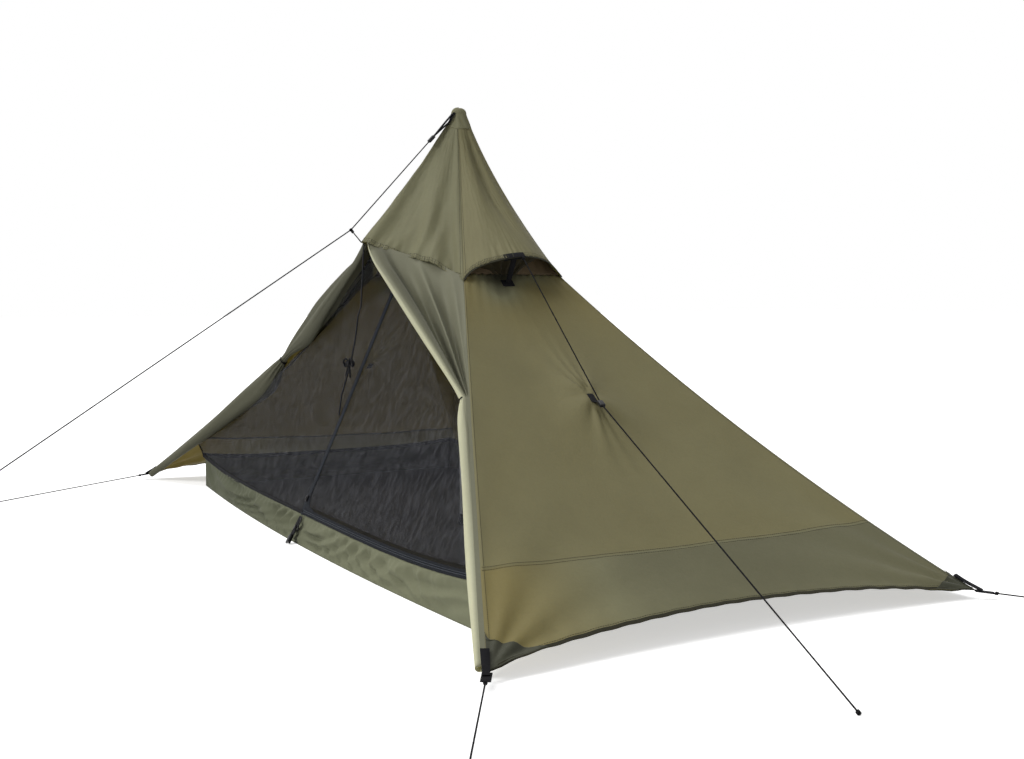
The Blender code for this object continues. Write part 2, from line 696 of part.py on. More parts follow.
def make_tub():
    def floor_point(s, t, side):
        inset = WALL_CLOTH + FLOOR_INSET
        front = -INNER_HALF_WIDTH - FLOOR_BOW * (1 - s * s) + inset
        across = mix(front, INNER_HALF_WIDTH - WALL_CLOTH - 2 * SEAT, t)
        return Vector((s * (INNER_HALF_LENGTH - WALL_CLOTH - 2 * SEAT), across, FLOOR_CLOTH * (1 - side)))

    sheet("floor", floor_point, 32, 1, TUB_LOOK)
    for face, columns in (("front", 32), ("right", 10), ("back", 24), ("left", 10)):

        def place(s, t, side, face=face):
            return wall_point(face, s, t, side)

        sheet("wall_" + face, place, columns, 3, TUB_LOOK)


def netting(name, face, rows, columns, look, left=None, right=None):
    """One face of the inner tent, between two rows of its grid. left and right are plumb edges, not ridges."""
    first, last = rows
    on_end = face in ("right", "left")

    def across(w, share):
        if on_end:
            w = max(w, 0)
            return mix(mesh_front(w) + RIDGE_SEAM, mesh_back(w) - RIDGE_SEAM, share)
        reach = mesh_half_x(w) - RIDGE_SEAM
        return mix(-reach if left is None else left, reach if right is None else right, share)

    def place(s, t, side):
        share = (s + 1) / 2
        rim = rim_height(face, across(0, share) / (INNER_HALF_WIDTH if on_end else INNER_HALF_LENGTH))
        row = first + round(t * (last - first))
        z = mix(rim + ZIP_WIDTH, MESH_TOP, (row - 1) / (MESH_ROWS - 1)) if row else rim
        if row == first:
            z += MESH_CLOTH + SEAT
        w = mesh_share(z)
        over, low = across(w, share), z - MESH_CLOTH * side
        if on_end:
            return Vector((math.copysign(mesh_half_x(w), 1 if face == "right" else -1), over, low))
        return Vector((over, mesh_front(w) if face == "front" else mesh_back(w), low))

    sheet(name, place, columns, last - first, look)


def make_netting():
    tape, edge = ZIP_WIDTH / 2, ZIP_WIDTH / 2 + SEAT
    netting("mesh_front", "front", (0, MESH_ROWS), 8, MESH_LOOK, right=-edge)
    netting("mesh_door", "front", (1, MESH_ROWS), 8, MESH_LOOK, left=edge)
    netting("mesh_right", "right", (0, MESH_ROWS), 10, MESH_LOOK)
    netting("mesh_back", "back", (0, MESH_ROWS), 12, MESH_LOOK)
    netting("mesh_left", "left", (0, MESH_ROWS), 10, MESH_LOOK)
    netting("zip_tape_up", "front", (0, MESH_ROWS), 2, WEB_LOOK, left=-tape, right=tape)
    netting("zip_tape_rim", "front", (0, 1), 8, WEB_LOOK, left=edge)
    up = Vector((0, INNER_HALF_WIDTH - MESH_TOP_HALF, MESH_TOP - RIM_HEIGHT))
    out = up.cross(ALONG_X).normalized() * -1
    seat = Vector((0, mesh_front(mesh_share(SLIDER_HEIGHT)), SLIDER_HEIGHT))
    place = frame_at(seat + out * (SLIDER_SIZE[2] / 2 + SEAT), up, out)
    block("zip_slider", SLIDER_SIZE, place, PLASTIC_LOOK, SLIDER_BEVEL)

    middle = Vector((0, 0, MESH_TOP + SEAT + CROWN_PATCH[2] / 2))
    patch = block("crown_patch", CROWN_PATCH, Matrix.Translation(middle), WEB_LOOK)
    hole = bmesh.new()
    bmesh.ops.create_cone(
        hole, cap_ends=True, segments=24, radius1=POLE_UPPER_RADIUS + SEAT, radius2=POLE_UPPER_RADIUS + SEAT,
        depth=CROWN_PATCH[2] * 4, matrix=Matrix.Translation(middle),
    )
    cut(patch, hole)


def make_straps():
    """The strap from the door peak to the netting with its bow, and the strap from the rim to the ground."""
    peak = cap_point("front", 0, 1)
    run = [peak - Vector((0, out, drop)) for out, drop in DOOR_STRAP]
    top = hit("cap_front", run[0] + ALONG_Y * DOOR_STRAP_INSET, ALONG_Z) - ALONG_Z * DOOR_STRAP_DROP
    foot_x, foot_z = DOOR_STRAP_FOOT
    foot = Vector((foot_x, mesh_front(mesh_share(foot_z)) - WEBBING / 2 - 2 * SEAT, foot_z))
    route = [top, *run, foot]
    ribbon("door_strap", route, ALONG_X, DOOR_STRAP_WIDTH, WEBBING, WEB_LOOK)

    above, knot, below = route[3:6]
    lie = (above - below).normalized()
    front = knot + ALONG_X.cross(lie) * (WEBBING + DOOR_BOW_STEP)
    bow = [front + ALONG_X * x + lie * up for x, up in DOOR_BOW]
    ribbon("door_bow", bow, lie, DOOR_BOW_WIDTH, WEBBING, WEB_LOOK)

    start = hit("wall_front", (0, -1, RIM_STRAP_TOP), ALONG_Y) - ALONG_Y * (WEBBING / 2 + 2 * SEAT)
    end = Vector(RIM_STRAP_END)
    route = [start.lerp(end, k / 4) for k in range(5)]
    ribbon("rim_strap", route, ALONG_X, RIM_STRAP_WIDTH[0], WEBBING, WEB_LOOK, RIM_STRAP_WIDTH[1])


def make_pole():
    """Two tubes, one sliding in the other, a twist collar between them, a tip in the fly and a foot below."""
    bottom = FLOOR_CLOTH + SEAT
    socket = POLE_LOWER_RADIUS + SEAT
    shoe, rest = bottom + POLE_FOOT_HEIGHT, bottom + POLE_FOOT_HEIGHT - POLE_FOOT_SOCKET
    turned(
        "pole_foot",
        [
            (0, rest), (socket, rest), (socket, shoe),
            (POLE_FOOT_RADIUS, shoe), (POLE_FOOT_RADIUS, bottom), (0, bottom),
        ],
        RUBBER_LOOK,
    )
    low, high = rest + SEAT, POLE_LOWER_HEAD
    outer, bore = POLE_LOWER_RADIUS, POLE_LOWER_BORE
    turned("pole_lower", [(outer, high), (outer, low), (bore, low), (bore, high)], POLE_LOOK)
    low, high = POLE_UPPER_FOOT, POLE_UPPER_HEAD
    outer, bore = POLE_UPPER_RADIUS, POLE_UPPER_BORE
    turned("pole_upper", [(outer, high), (outer, low), (bore, low), (bore, high)], POLE_LOOK)
    high = POLE_UPPER_FOOT - SEAT
    low, neck = high - POLE_COLLAR_HEIGHT, POLE_COLLAR_RADIUS - POLE_EASE
    swell = [(POLE_COLLAR_RADIUS, high - 2 * POLE_EASE), (POLE_COLLAR_RADIUS, low + 2 * POLE_EASE)]
    collar = [(neck, high), *swell, (neck, low)]
    turned("pole_collar", [*collar, (socket, low), (socket, high)], PLASTIC_LOOK)
    stem, shoulder = POLE_UPPER_BORE - SEAT, POLE_UPPER_HEAD + SEAT
    top = FLY_HEIGHT - APEX_CAP_CLOTH - SEAT
    radius, end = POLE_TIP_RADIUS, shoulder - POLE_TIP_STEM
    tip = [(0, top), (radius - POLE_EASE, top), (radius, top - POLE_EASE), (radius, shoulder)]
    turned("pole_tip", [*tip, (stem, shoulder), (stem, end), (0, end)], PLASTIC_LOOK)


TENT = CUTTERS = None


def main():
    global TENT, CUTTERS, FLY_LOOK, TUB_LOOK, MESH_LOOK, WEB_LOOK, CORD_LOOK
    global PLASTIC_LOOK, RUBBER_LOOK, POLE_LOOK
    clear_scene()
    TENT = collection("solo_pyramid_tent")
    CUTTERS = collection("cutters", hidden=True)
    FLY_LOOK = finish("fly", OLIVE, 0.75)
    TUB_LOOK = finish("tub", TUB_OLIVE, 0.6)
    MESH_LOOK = finish("netting", NETTING, 0.9)
    WEB_LOOK = finish("webbing", BLACK, 0.8)
    CORD_LOOK = finish("cord", BLACK, 0.7)
    PLASTIC_LOOK = finish("plastic", BLACK, 0.45)
    RUBBER_LOOK = finish("rubber", RUBBER, 0.85)
    POLE_LOOK = finish("pole", ALUMINIUM, 0.35, 1.0)
    make_caps()
    make_apex_cap()
    make_panels()
    make_flaps()
    make_tiebacks()
    make_vents()
    make_corners()
    make_apex_guy()
    make_side_guy()
    make_tub()
    make_netting()
    make_straps()
    make_pole()


main()
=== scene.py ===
"""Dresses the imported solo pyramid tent: cloth, netting, webbing, cords and pole, on a pale floor.

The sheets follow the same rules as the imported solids, from the same named sizes, with finer folds
and wrinkles. s runs across a face from -1 to 1, and t or v runs along it from 0 to 1.
"""

import math

import bmesh
import bpy
from mathutils import Matrix, Vector, noise


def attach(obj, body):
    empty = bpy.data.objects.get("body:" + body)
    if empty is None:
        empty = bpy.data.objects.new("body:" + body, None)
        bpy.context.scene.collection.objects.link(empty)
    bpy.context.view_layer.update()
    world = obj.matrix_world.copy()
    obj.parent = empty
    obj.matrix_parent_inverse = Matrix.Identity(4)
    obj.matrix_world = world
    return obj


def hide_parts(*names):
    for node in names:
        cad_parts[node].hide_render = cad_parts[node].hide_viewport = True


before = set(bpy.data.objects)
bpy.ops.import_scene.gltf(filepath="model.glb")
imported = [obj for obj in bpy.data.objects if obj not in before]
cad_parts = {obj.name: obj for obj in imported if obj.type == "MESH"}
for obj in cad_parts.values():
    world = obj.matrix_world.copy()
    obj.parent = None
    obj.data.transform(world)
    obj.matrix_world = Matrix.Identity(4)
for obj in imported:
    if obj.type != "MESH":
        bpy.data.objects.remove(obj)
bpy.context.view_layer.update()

# The fly's sizes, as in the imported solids.
FLY_HALF_LENGTH = 1.381
FLY_HALF_WIDTH = 0.634
FLY_HEIGHT = 1.250
CORNER_HEIGHT = 0.021
TIP_HALF = 0.012
CAP_SEAM_HEIGHT = 0.757
CAP_SPREAD = 0.22
CAP_FLARE = 1.3
PEAK_OUT = 0.170
PEAK_UP = 0.090
HOOD_OUT = 0.080
HOOD_UP = 0.045
HOOD_START = 1.5
APEX_CAP_LIFT = 0.006
APEX_FOOT = 0.120
APEX_TOP = 0.022
APEX_SKIRT = 0.62
APEX_DOME = 0.0178
CORNER_DROP = 0.036
RIDGE_WAY = (0.725, 0.330, 0.603)
RIDGE_OFF = (0.5, 0.6, 0.62)
TIP_LEAN = (-0.007, -0.013, 0.0)
PANEL_START = 0.0015
BACK_PANEL_START = -0.020
SIDE_PANEL_RUN = 1.0678
BACK_PANEL_RUN = 0.4852
RIDGE_SAG = 0.040
FACE_SAG = 0.018
SIDE_HEM_CUT = 0.047
SIDE_HEM_LIFT = 0.020
BACK_HEM_CUT = 0.080
BACK_HEM_LIFT = 0.020
LEFT_RIDGE_LIFT = 0.032
PULL_OUT_SHARE = 0.39
PULL_OUT = 0.030
PULL_OUT_REACH_DOWN = 0.11
PULL_OUT_REACH_ACROSS = 0.28
SKIRT_SEAM = 0.785
FLAP_START = 0.0012
FLAP_END = 0.985
FLAP_TIE = 0.36
FLAP_FLAT_SHARE = 0.42
ROLL_HEAD = (0.012, -0.309, 0.830)
ROLL_SIDE_STEP = 0.012
ROLL_RADIUS_HEAD = 0.0075
ROLL_RADIUS_TIE = 0.0115
ROLL_RADIUS_BELLY = 0.0265
ROLL_RADIUS_END = 0.009
ROLL_SWELL = 0.06
ROLL_PITCH = 0.0035
ROLL_TURNS = 1.25

# The inner tent's sizes.
INNER_HALF_LENGTH = 1.111
INNER_HALF_WIDTH = 0.493
FLOOR_BOW = 0.045
RIM_HEIGHT = 0.109
RIM_SAG = {"front": 0.034, "right": 0.018, "back": 0.010, "left": 0.018}
MESH_TOP = 1.150
MESH_TOP_HALF = 0.022
MESH_WAIST = 2.2
MESH_BACK_FLARE = 1.45
LEFT_EDGE = ((0, 1.111), (0.055, 1.135), (0.08, 1.120), (0.12, 1.050), (0.2, 0.925), (0.3, 0.740),
             (0.4, 0.590), (0.5, 0.440), (0.55, 0.345), (0.60, 0.243), (0.65, 0.135), (0.69, 0.040),
             (0.76, 0.036), (1, 0.022))
ZIP_WIDTH = 0.026
RIM_ZIP_WIDTH = 0.019
ZIP_THICKNESS = 0.0014
ZIP_LIFT = 0.0008
ZIP_CLEAR = 0.0003
ZIP_BEND = ((0.0, 0.085), (0.001, 0.060), (0.010, 0.036), (0.034, 0.017), (0.075, 0.010))
TOOTH_LIFT = 0.0014
TOOTH_ROWS = (-0.0022, 0.0022)
TOOTH_STEP = 0.0045
TOOTH_LENGTH = 0.0032
SLIDER_HEIGHT = 0.118
SLIDER_LIFT = 0.0048
SLIDER_SIZE = (0.018, 0.010, 0.0050)
CROWN_HOLE = 0.0100
CROWN_HALF = 0.0235
CROWN_THICKNESS = 0.0022

# A point on the inside of the left flap, the way it faces, and how far the netting stays inside it.
FLAP_SPOT = Vector((-0.313, -0.149, 0.757))
FLAP_WAY = Vector((-0.424, -0.436, 0.793))
FLAP_MARGIN = 0.009
INWARD_STEP = 0.985
INWARD_TRIES = 60

# Each cloth's flat cut, width by length, and the share of that box which it fills.
SIDE_CAP_CUT = ((0.35, 0.60), 0.50)
SIDE_PANEL_CUT = ((1.27, 1.30), 0.58)
CAP_CUTS = {"front": ((0.64, 0.59), 0.48), "right": SIDE_CAP_CUT, "back": ((0.63, 0.52), 0.46),
            "left": SIDE_CAP_CUT}
PANEL_CUTS = {"right": SIDE_PANEL_CUT, "back": ((2.76, 0.88), 0.55), "left": SIDE_PANEL_CUT}
TUB_CUTS = {"front": ((2.22, 0.11), 0.80), "right": ((0.986, 0.11), 0.88), "back": ((2.22, 0.11), 0.93),
            "left": ((0.986, 0.11), 0.88)}
FLOOR_CUT = ((2.22, 1.02), 0.99)
VENT_WALL_CUT = ((0.30, 0.13), 0.88)
VENT_CLOTH_CUT = ((0.24, 0.10), 0.75)
NETTING_END_CUT = ((0.99, 1.52), 0.57)
NETTING_BACK_CUT = ((2.22, 1.16), 0.38)
NETTING_FRONT_CUT = ((1.10, 1.14), 0.47)
NETTING_DOOR_CUT = ((1.10, 1.12), 0.36)

# Cloth, cord and stitches.
CLOTH = 0.0007
WALL_CLOTH = 0.0008
FLOOR_CLOTH = 0.0012
NET_CLOTH = 0.0006
CORD = 0.002
STITCH_STEP = 0.0062
STITCH_LENGTH = 0.0042
STITCH_RADIUS = 0.00042
STITCH_LIFT = 0.0004
GATHER_STEP = 0.0050
GATHER_LENGTH = 0.0046
GATHER_RADIUS = 0.00055
PANEL_LENGTH = 1.2
SEAM_STEPS = [k / 90 for k in range(91)]

# The guys' routes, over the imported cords' points, with the points that have knots and the far ends.
CORD_ROUTES = (
    ("apex_guy", ((0, -0.1060, 1.1458), (0, -0.3520, 0.8830), (0, -1.3360, 0.2340)), (1, 2), "knot"),
    ("peak_guy", ((0, -0.3501, 0.8809), (0, -0.3198, 0.8470)), (0,), "bare"),
    ("side_guy_upper", ((0.3960, -0.0100, 0.7993), (0.7758, -0.0079, 0.4417), (0.7794, -0.0084, 0.4402)),
     (0,), "fitting"),
    ("side_guy_lower", ((0.8013, -0.0117, 0.4283), (1.8300, -0.1650, 0.0028)), (1,), "knot"),
    ("corner_guy_left", ((-1.3592, -0.6740, 0.0184), (-1.0400, -1.2600, 0.0028)), (0, 1), "knot"),
    ("corner_guy_near", ((1.4199, -0.6578, 0.0177), (1.7500, -0.8600, 0.0028)), (0, 1), "knot"),
    ("corner_guy_right", ((1.4069, 0.6712, 0.0146), (1.4700, 0.7620, 0.0028)), (0, 1), "knot"),
)
KNOT_RADIUS = 0.0028
KNOT_CORD = 0.0016
KNOT_HALF = 0.003
KNOT_OFF = 0.004

# The light's strengths, and each lamp's strength, spread in degrees and direction.
WORLD_LIGHT = 0.28
FLOOR_GLOW = 0.54
LAMPS = {"key": (1.60, 22, (-0.06, -0.80, 0.60)), "overhead": (1.45, 36, (-0.35, -0.15, 0.90))}

# The camera, with its angles in degrees and its lens in millimetres.
CAMERA_PLACE = (3.304, -1.635, 0.710)
CAMERA_DOWN = 4.166
CAMERA_TURN = 61.315
CAMERA_LENS = 42.95

ALONG_X, ALONG_Y, ALONG_Z = Vector((1, 0, 0)), Vector((0, 1, 0)), Vector((0, 0, 1))

# The way up the netting's front, and the way out from it.
DOOR_SLOPE = Vector((0, INNER_HALF_WIDTH - MESH_TOP_HALF, MESH_TOP - RIM_HEIGHT))
DOOR_OUT = Vector((0, -(MESH_TOP - RIM_HEIGHT), INNER_HALF_WIDTH - MESH_TOP_HALF)).normalized()


def mix(a, b, share):
    return a + (b - a) * share


def ease(low, high, x):
    share = min(max((x - low) / (high - low), 0), 1)
    return share * share * (3 - 2 * share)


def bump_at(x, width):
    return math.exp(-((x / width) ** 2))


def ripple(*at, seed=0.0):
    """Smooth noise from -1 to 1."""
    return noise.noise(Vector((*at, *([seed] * (3 - len(at))))))


# Materials

# A wave texture's scale is the threads or ribs to the metre over this.
WAVE_SCALE = 6.28


def feed(tree, socket, value):
    """Gives a socket a plain value, or links another node's output to it."""
    if isinstance(value, bpy.types.NodeSocket):
        tree.links.new(value, socket)
    elif socket.type == "RGBA" and len(value) == 3:
        socket.default_value = (*value, 1)
    else:
        socket.default_value = value


def add(tree, kind, settings=None, **sockets):
    """A shader node with its settings and inputs. An input is named, or i and its number."""
    made = tree.nodes.new("ShaderNode" + kind)
    for key, value in (settings or {}).items():
        setattr(made, key, value)
    for key, value in sockets.items():
        numbered = key[0] == "i" and key[1:].isdigit()
        feed(tree, made.inputs[int(key[1:]) if numbered else key.replace("_", " ")], value)
    return made


def sums(tree, operation, a, b=0.0):
    return add(tree, "Math", {"operation": operation}, i0=a, i1=b).outputs[0]


def spread_over(tree, share, spread, middle):
    """A share from 0 to 1 made a value that varies by spread about its middle."""
    return sums(tree, "ADD", sums(tree, "MULTIPLY", share, spread), middle - spread / 2)


def blend_colour(tree, share, a, b, how="MIX"):
    made = add(tree, "Mix", {"data_type": "RGBA", "blend_type": how}, i0=share, i6=a, i7=b)
    return made.outputs[2]


def times(tree, colour, by):
    return blend_colour(tree, 1.0, colour, by, "MULTIPLY")


def cloud(tree, place, scale, detail, **more):
    return add(tree, "TexNoise", Vector=place, Scale=scale, Detail=detail, **more).outputs["Fac"]


def bumped(tree, height, strength, distance, **more):
    return add(tree, "Bump", Strength=strength, Distance=distance, Height=height, **more).outputs["Normal"]


def new_material(name):
    made = bpy.data.materials.new(name)
    made.use_nodes = True
    tree = made.node_tree
    tree.nodes.clear()
    return made, tree, tree.nodes.new("ShaderNodeOutputMaterial")


def weave_height(tree, threads):
    """A plain weave over the piece's own UV map, by its threads to the metre."""
    uv = add(tree, "TexCoord").outputs["UV"]
    bands = {"wave_type": "BANDS", "bands_direction": "X"}
    ways = []
    for turn in (0, math.pi / 2):
        turned = add(tree, "Mapping", Vector=uv, Rotation=(0, 0, turn)).outputs[0]
        ways.append(add(tree, "TexWave", bands, Vector=turned, Scale=threads / WAVE_SCALE).outputs["Fac"])
    return sums(tree, "MULTIPLY", ways[0], ways[1])


def nylon(name, colour, painted_light_colour, through, roughness=0.62, crease=0.5, depth=0.0022, gloss=0.20):
    """Coated nylon, with a share of the light coming through it.

    Its painted-light attribute warms the colour above nought, as a painted glow of light shining through, and
    darkens it below nought, as painted shade.
    """
    made, tree, output = new_material(name)
    place = add(tree, "TexCoord").outputs["Object"]
    painted_light_and_shade = add(tree, "Attribute", {"attribute_name": "painted_light_and_shade"}).outputs["Fac"]
    cloudy = cloud(tree, place, 5.0, 4.0, Roughness=0.6)
    fine = cloud(tree, place, 160.0, 3.0, Roughness=0.7)
    # Painted glow of light shining through: above nought the attribute blends towards the second colour.
    base = blend_colour(tree, painted_light_and_shade, colour, painted_light_colour)
    base = blend_colour(tree, cloudy, times(tree, base, (0.80, 0.79, 0.76)), base)
    base = blend_colour(tree, fine, base, times(tree, base, (0.90, 0.90, 0.89)))
    # Painted shade: below nought the attribute darkens the colour.
    base = times(tree, base, sums(tree, "ADD", sums(tree, "MINIMUM", painted_light_and_shade), 1.0))
    crinkle = cloud(tree, place, 34.0, 5.0, Roughness=0.55, Distortion=0.8)
    folds = bumped(tree, crinkle, crease, depth)
    cloth = bumped(tree, weave_height(tree, 1400.0), 0.25, 0.0002, Normal=folds)
    rough = spread_over(tree, fine, 0.16, roughness)
    shader = add(tree, "BsdfPrincipled", Base_Color=base, Roughness=rough, Normal=cloth,
                 Specular_IOR_Level=gloss, Sheen_Weight=gloss * 0.3, Sheen_Roughness=0.4)
    lit = add(tree, "BsdfTranslucent", Color=times(tree, base, (1.62, 1.52, 1.10)), Normal=cloth)
    both = add(tree, "MixShader", i0=through, i1=shader.outputs[0], i2=lit.outputs[0])
    tree.links.new(both.outputs[0], output.inputs[0])
    return made


def netting_cloth(name, colour, cover):
    """Fine netting: dark threads with the light between them, and slack that hangs in narrow pleats, painted
    lighter along them as a painted sheen.
    """
    made, tree, output = new_material(name)
    place = add(tree, "TexCoord").outputs["Object"]
    slack = add(tree, "Mapping", Vector=place, Scale=(75, 75, 7)).outputs[0]
    pleats = cloud(tree, slack, 1.0, 3.0, Distortion=0.5)
    sharp = add(tree, "MapRange", Value=pleats, i1=0.42, i2=0.72).outputs[0]
    # Painted highlight: the pleats lighter in colour, standing in for the sheen on the threads.
    base = blend_colour(tree, sharp, colour, tuple(c * 2.6 for c in colour))
    normal = bumped(tree, pleats, 0.5, 0.0025)
    shader = add(tree, "BsdfPrincipled", Base_Color=base, Roughness=0.85, Normal=normal,
                 Specular_IOR_Level=0.06, Alpha=cover)
    tree.links.new(shader.outputs[0], output.inputs[0])
    return made


def webbing_cloth(name, colour, ribs=900.0):
    """Woven tape, braid or thread: ribs across its length, with a lighter worn bloom."""
    made, tree, output = new_material(name)
    uv = add(tree, "TexCoord").outputs["UV"]
    worn = cloud(tree, add(tree, "TexCoord").outputs["Object"], 60.0, 4.0)
    base = blend_colour(tree, worn, colour, tuple(c * 1.7 + 0.001 for c in colour))
    wave = add(tree, "TexWave", {"bands_direction": "Y"}, Vector=uv, Scale=ribs / WAVE_SCALE, Distortion=1.5,
               Detail_Scale=3.0)
    normal = bumped(tree, wave.outputs["Fac"], 0.6, 0.0005)
    shader = add(tree, "BsdfPrincipled", Base_Color=base, Roughness=spread_over(tree, worn, 0.2, 0.7),
                 Normal=normal, Specular_IOR_Level=0.07)
    tree.links.new(shader.outputs[0], output.inputs[0])
    return made


def moulded(name, colour, roughness, grain=900.0, metallic=0.0):
    """Moulded plastic, rubber or drawn metal, with a fine grain and a little wear."""
    made, tree, output = new_material(name)
    place = add(tree, "TexCoord").outputs["Object"]
    long_way = add(tree, "Mapping", Vector=place, Scale=(1, 1, 0.08 if metallic else 1)).outputs[0]
    fine = cloud(tree, long_way, grain, 2.0)
    worn = cloud(tree, place, 25.0, 5.0, Roughness=0.65)
    base = blend_colour(tree, worn, colour, tuple(min(c * 1.35 + 0.003, 1) for c in colour))
    normal = bumped(tree, fine, 0.25, 0.0001)
    shader = add(tree, "BsdfPrincipled", Base_Color=base, Roughness=spread_over(tree, worn, 0.18, roughness),
                 Normal=normal, Metallic=metallic, Specular_IOR_Level=0.5 if metallic else 0.22)
    tree.links.new(shader.outputs[0], output.inputs[0])
    return made


OLIVE = (0.304, 0.298, 0.186)
# The golden colour of the painted glow where light shines through the fly.
PAINTED_GLOW_GOLD = (0.318, 0.272, 0.112)
FLY = nylon("fly_nylon", OLIVE, PAINTED_GLOW_GOLD, 0.38)
LINING = nylon("fly_lining", (0.285, 0.275, 0.165), PAINTED_GLOW_GOLD, 0.38)
# The flaps' nylon is darker than the fly's as painted shade; its pale second colour is a painted highlight on
# the roll, partly also for the doubled cloth.
FLAP = nylon("flap_nylon", (0.172, 0.172, 0.120), (0.70, 0.70, 0.51), 0.20, gloss=0.12)
# The vent's cloth is near black as painted shade in the recess under the hood.
VENT_SHADE_NYLON = nylon("vent_cloth", (0.034, 0.028, 0.013), (0.075, 0.055, 0.024), 0.04, roughness=0.8,
                   crease=0.9)
VENT_LINING = nylon("vent_lining", (0.120, 0.088, 0.050), PAINTED_GLOW_GOLD, 0.10, roughness=0.8)
# The tub's second colour is painted shade, used darker towards the left end.
TUB = nylon("tub_nylon", (0.232, 0.240, 0.156), (0.090, 0.098, 0.067), 0.05, roughness=0.7, crease=0.6,
            depth=0.0025, gloss=0.06)
TUB_FLOOR = nylon("floor_nylon", (0.030, 0.029, 0.026), (0.05, 0.05, 0.04), 0.0, roughness=0.5)
PATCH = nylon("corner_patch", (0.055, 0.057, 0.037), (0.03, 0.03, 0.02), 0.05, roughness=0.6, crease=0.9)
NETTING = netting_cloth("black_netting", (0.044, 0.045, 0.050), 0.23)
BINDING = webbing_cloth("hem_binding", (0.022, 0.021, 0.013))
WEBBING = webbing_cloth("black_webbing", (0.0055, 0.0055, 0.0065))
TAPE = webbing_cloth("zip_tape", (0.0070, 0.0082, 0.0105), ribs=1400.0)
BRAID = webbing_cloth("black_braid", (0.0055, 0.0055, 0.0062), ribs=1600.0)
THREAD = webbing_cloth("olive_thread", (0.060, 0.058, 0.036), ribs=2500.0)
TEETH = moulded("zip_teeth", (0.022, 0.027, 0.036), 0.45)
PLASTIC = moulded("black_plastic", (0.010, 0.010, 0.011), 0.45)
RUBBER = moulded("black_rubber", (0.018, 0.018, 0.019), 0.75, grain=400.0)
METAL = moulded("anodised_tube", (0.55, 0.56, 0.57), 0.34, grain=500.0, metallic=1.0)


# Pieces


def piece(name, mesh, materials, stands_for=(), body="tent"):
    """An object of this scene, in place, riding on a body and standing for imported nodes."""
    for material in materials:
        mesh.materials.append(material)
    obj = bpy.data.objects.new(name, mesh)
    bpy.context.scene.collection.objects.link(obj)
    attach(obj, body)
    if stands_for:
        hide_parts(*stands_for)
    return obj


def mesh_of(name, bm, smooth=True):
    """A finished mesh from a built one, which is freed."""
    mesh = bpy.data.meshes.new(name)
    bm.to_mesh(mesh)
    bm.free()
    if smooth:
        mesh.shade_smooth()
    return mesh


def grid_faces(columns, rows, closed):
    """The faces of a thin sheet: its front, its back, and the rims between them."""
    wide = columns + 1
    count = wide * (rows + 1)
    starts = [j * wide + i for j in range(rows) for i in range(columns)]
    faces = [(a, a + 1, a + wide + 1, a + wide) for a in starts]
    faces += [(a, a + wide, a + wide + 1, a + 1) for a in (start + count for start in starts)]
    for i in range(columns):
        faces.append((i, i + count, i + 1 + count, i + 1))
        a = rows * wide + i
        faces.append((a, a + 1, a + 1 + count, a + count))
    for j in range(0 if closed else rows):
        a = j * wide
        faces.append((a, a + wide, a + wide + count, a + count))
        a += columns
        faces.append((a, a + count, a + wide + count, a + wide))
    return faces


def grid_mesh(name, place, columns, rows, thickness=CLOTH, painted_light_and_shade=None, size=(1, 1), closed=False):
    """A thin closed sheet over (s, t), its second face in the second material.

    The painted light and shade given for each (s, t) is kept as an attribute. The UV map is in metres, by the
    size of the flat cut.
    """
    wide, high = columns + 1, rows + 1
    spots = [(2 * i / columns - 1, j / rows) for j in range(high) for i in range(wide)]
    front = [place(s, t) for s, t in spots]
    back = []
    for k, point in enumerate(front):
        j, i = divmod(k, wide)
        left, right = front[j * wide + max(i - 1, 0)], front[j * wide + min(i + 1, columns)]
        if closed and i in (0, columns):
            left, right = front[j * wide + columns - 1], front[j * wide + 1]
        low, up = front[max(j - 1, 0) * wide + i], front[min(j + 1, rows) * wide + i]
        back.append(point - (right - left).cross(up - low).normalized() * thickness)
    count = len(front)
    mesh = bpy.data.meshes.new(name)
    mesh.from_pydata([tuple(p) for p in front + back], [], grid_faces(columns, rows, closed))
    layer = mesh.uv_layers.new(name="UVMap")
    for loop in mesh.loops:
        s, t = spots[loop.vertex_index % count]
        layer.data[loop.index].uv = ((s + 1) / 2 * size[0], t * size[1])
    attribute = mesh.attributes.new("painted_light_and_shade", "FLOAT", "POINT")
    for k in range(2 * count):
        attribute.data[k].value = painted_light_and_shade(*spots[k % count]) if painted_light_and_shade else 0.0
    mesh.shade_smooth()
    for polygon in mesh.polygons[columns * rows:]:
        polygon.material_index = 1
    if closed:
        merged = bmesh.new()
        merged.from_mesh(mesh)
        bmesh.ops.remove_doubles(merged, verts=merged.verts, dist=1e-6)
        merged.to_mesh(mesh)
        merged.free()
    return mesh


def sheet(name, place, columns, rows, materials, stands_for, size, painted_light_and_shade=None,
          thickness=CLOTH, share=1.0):
    """A sheet of cloth as a piece. size is its flat cut. share is not used."""
    mesh = grid_mesh(name, place, columns, rows, thickness, painted_light_and_shade, size)
    obj = piece(name, mesh, materials, stands_for)


def walked(route):
    """The direction of a route at each point, and its length up to there."""
    last = len(route) - 1
    ways = [(route[min(k + 1, last)] - route[max(k - 1, 0)]).normalized() for k in range(last + 1)]
    lengths = [0.0]
    for a, b in zip(route, route[1:]):
        lengths.append(lengths[-1] + (b - a).length)
    return ways, lengths


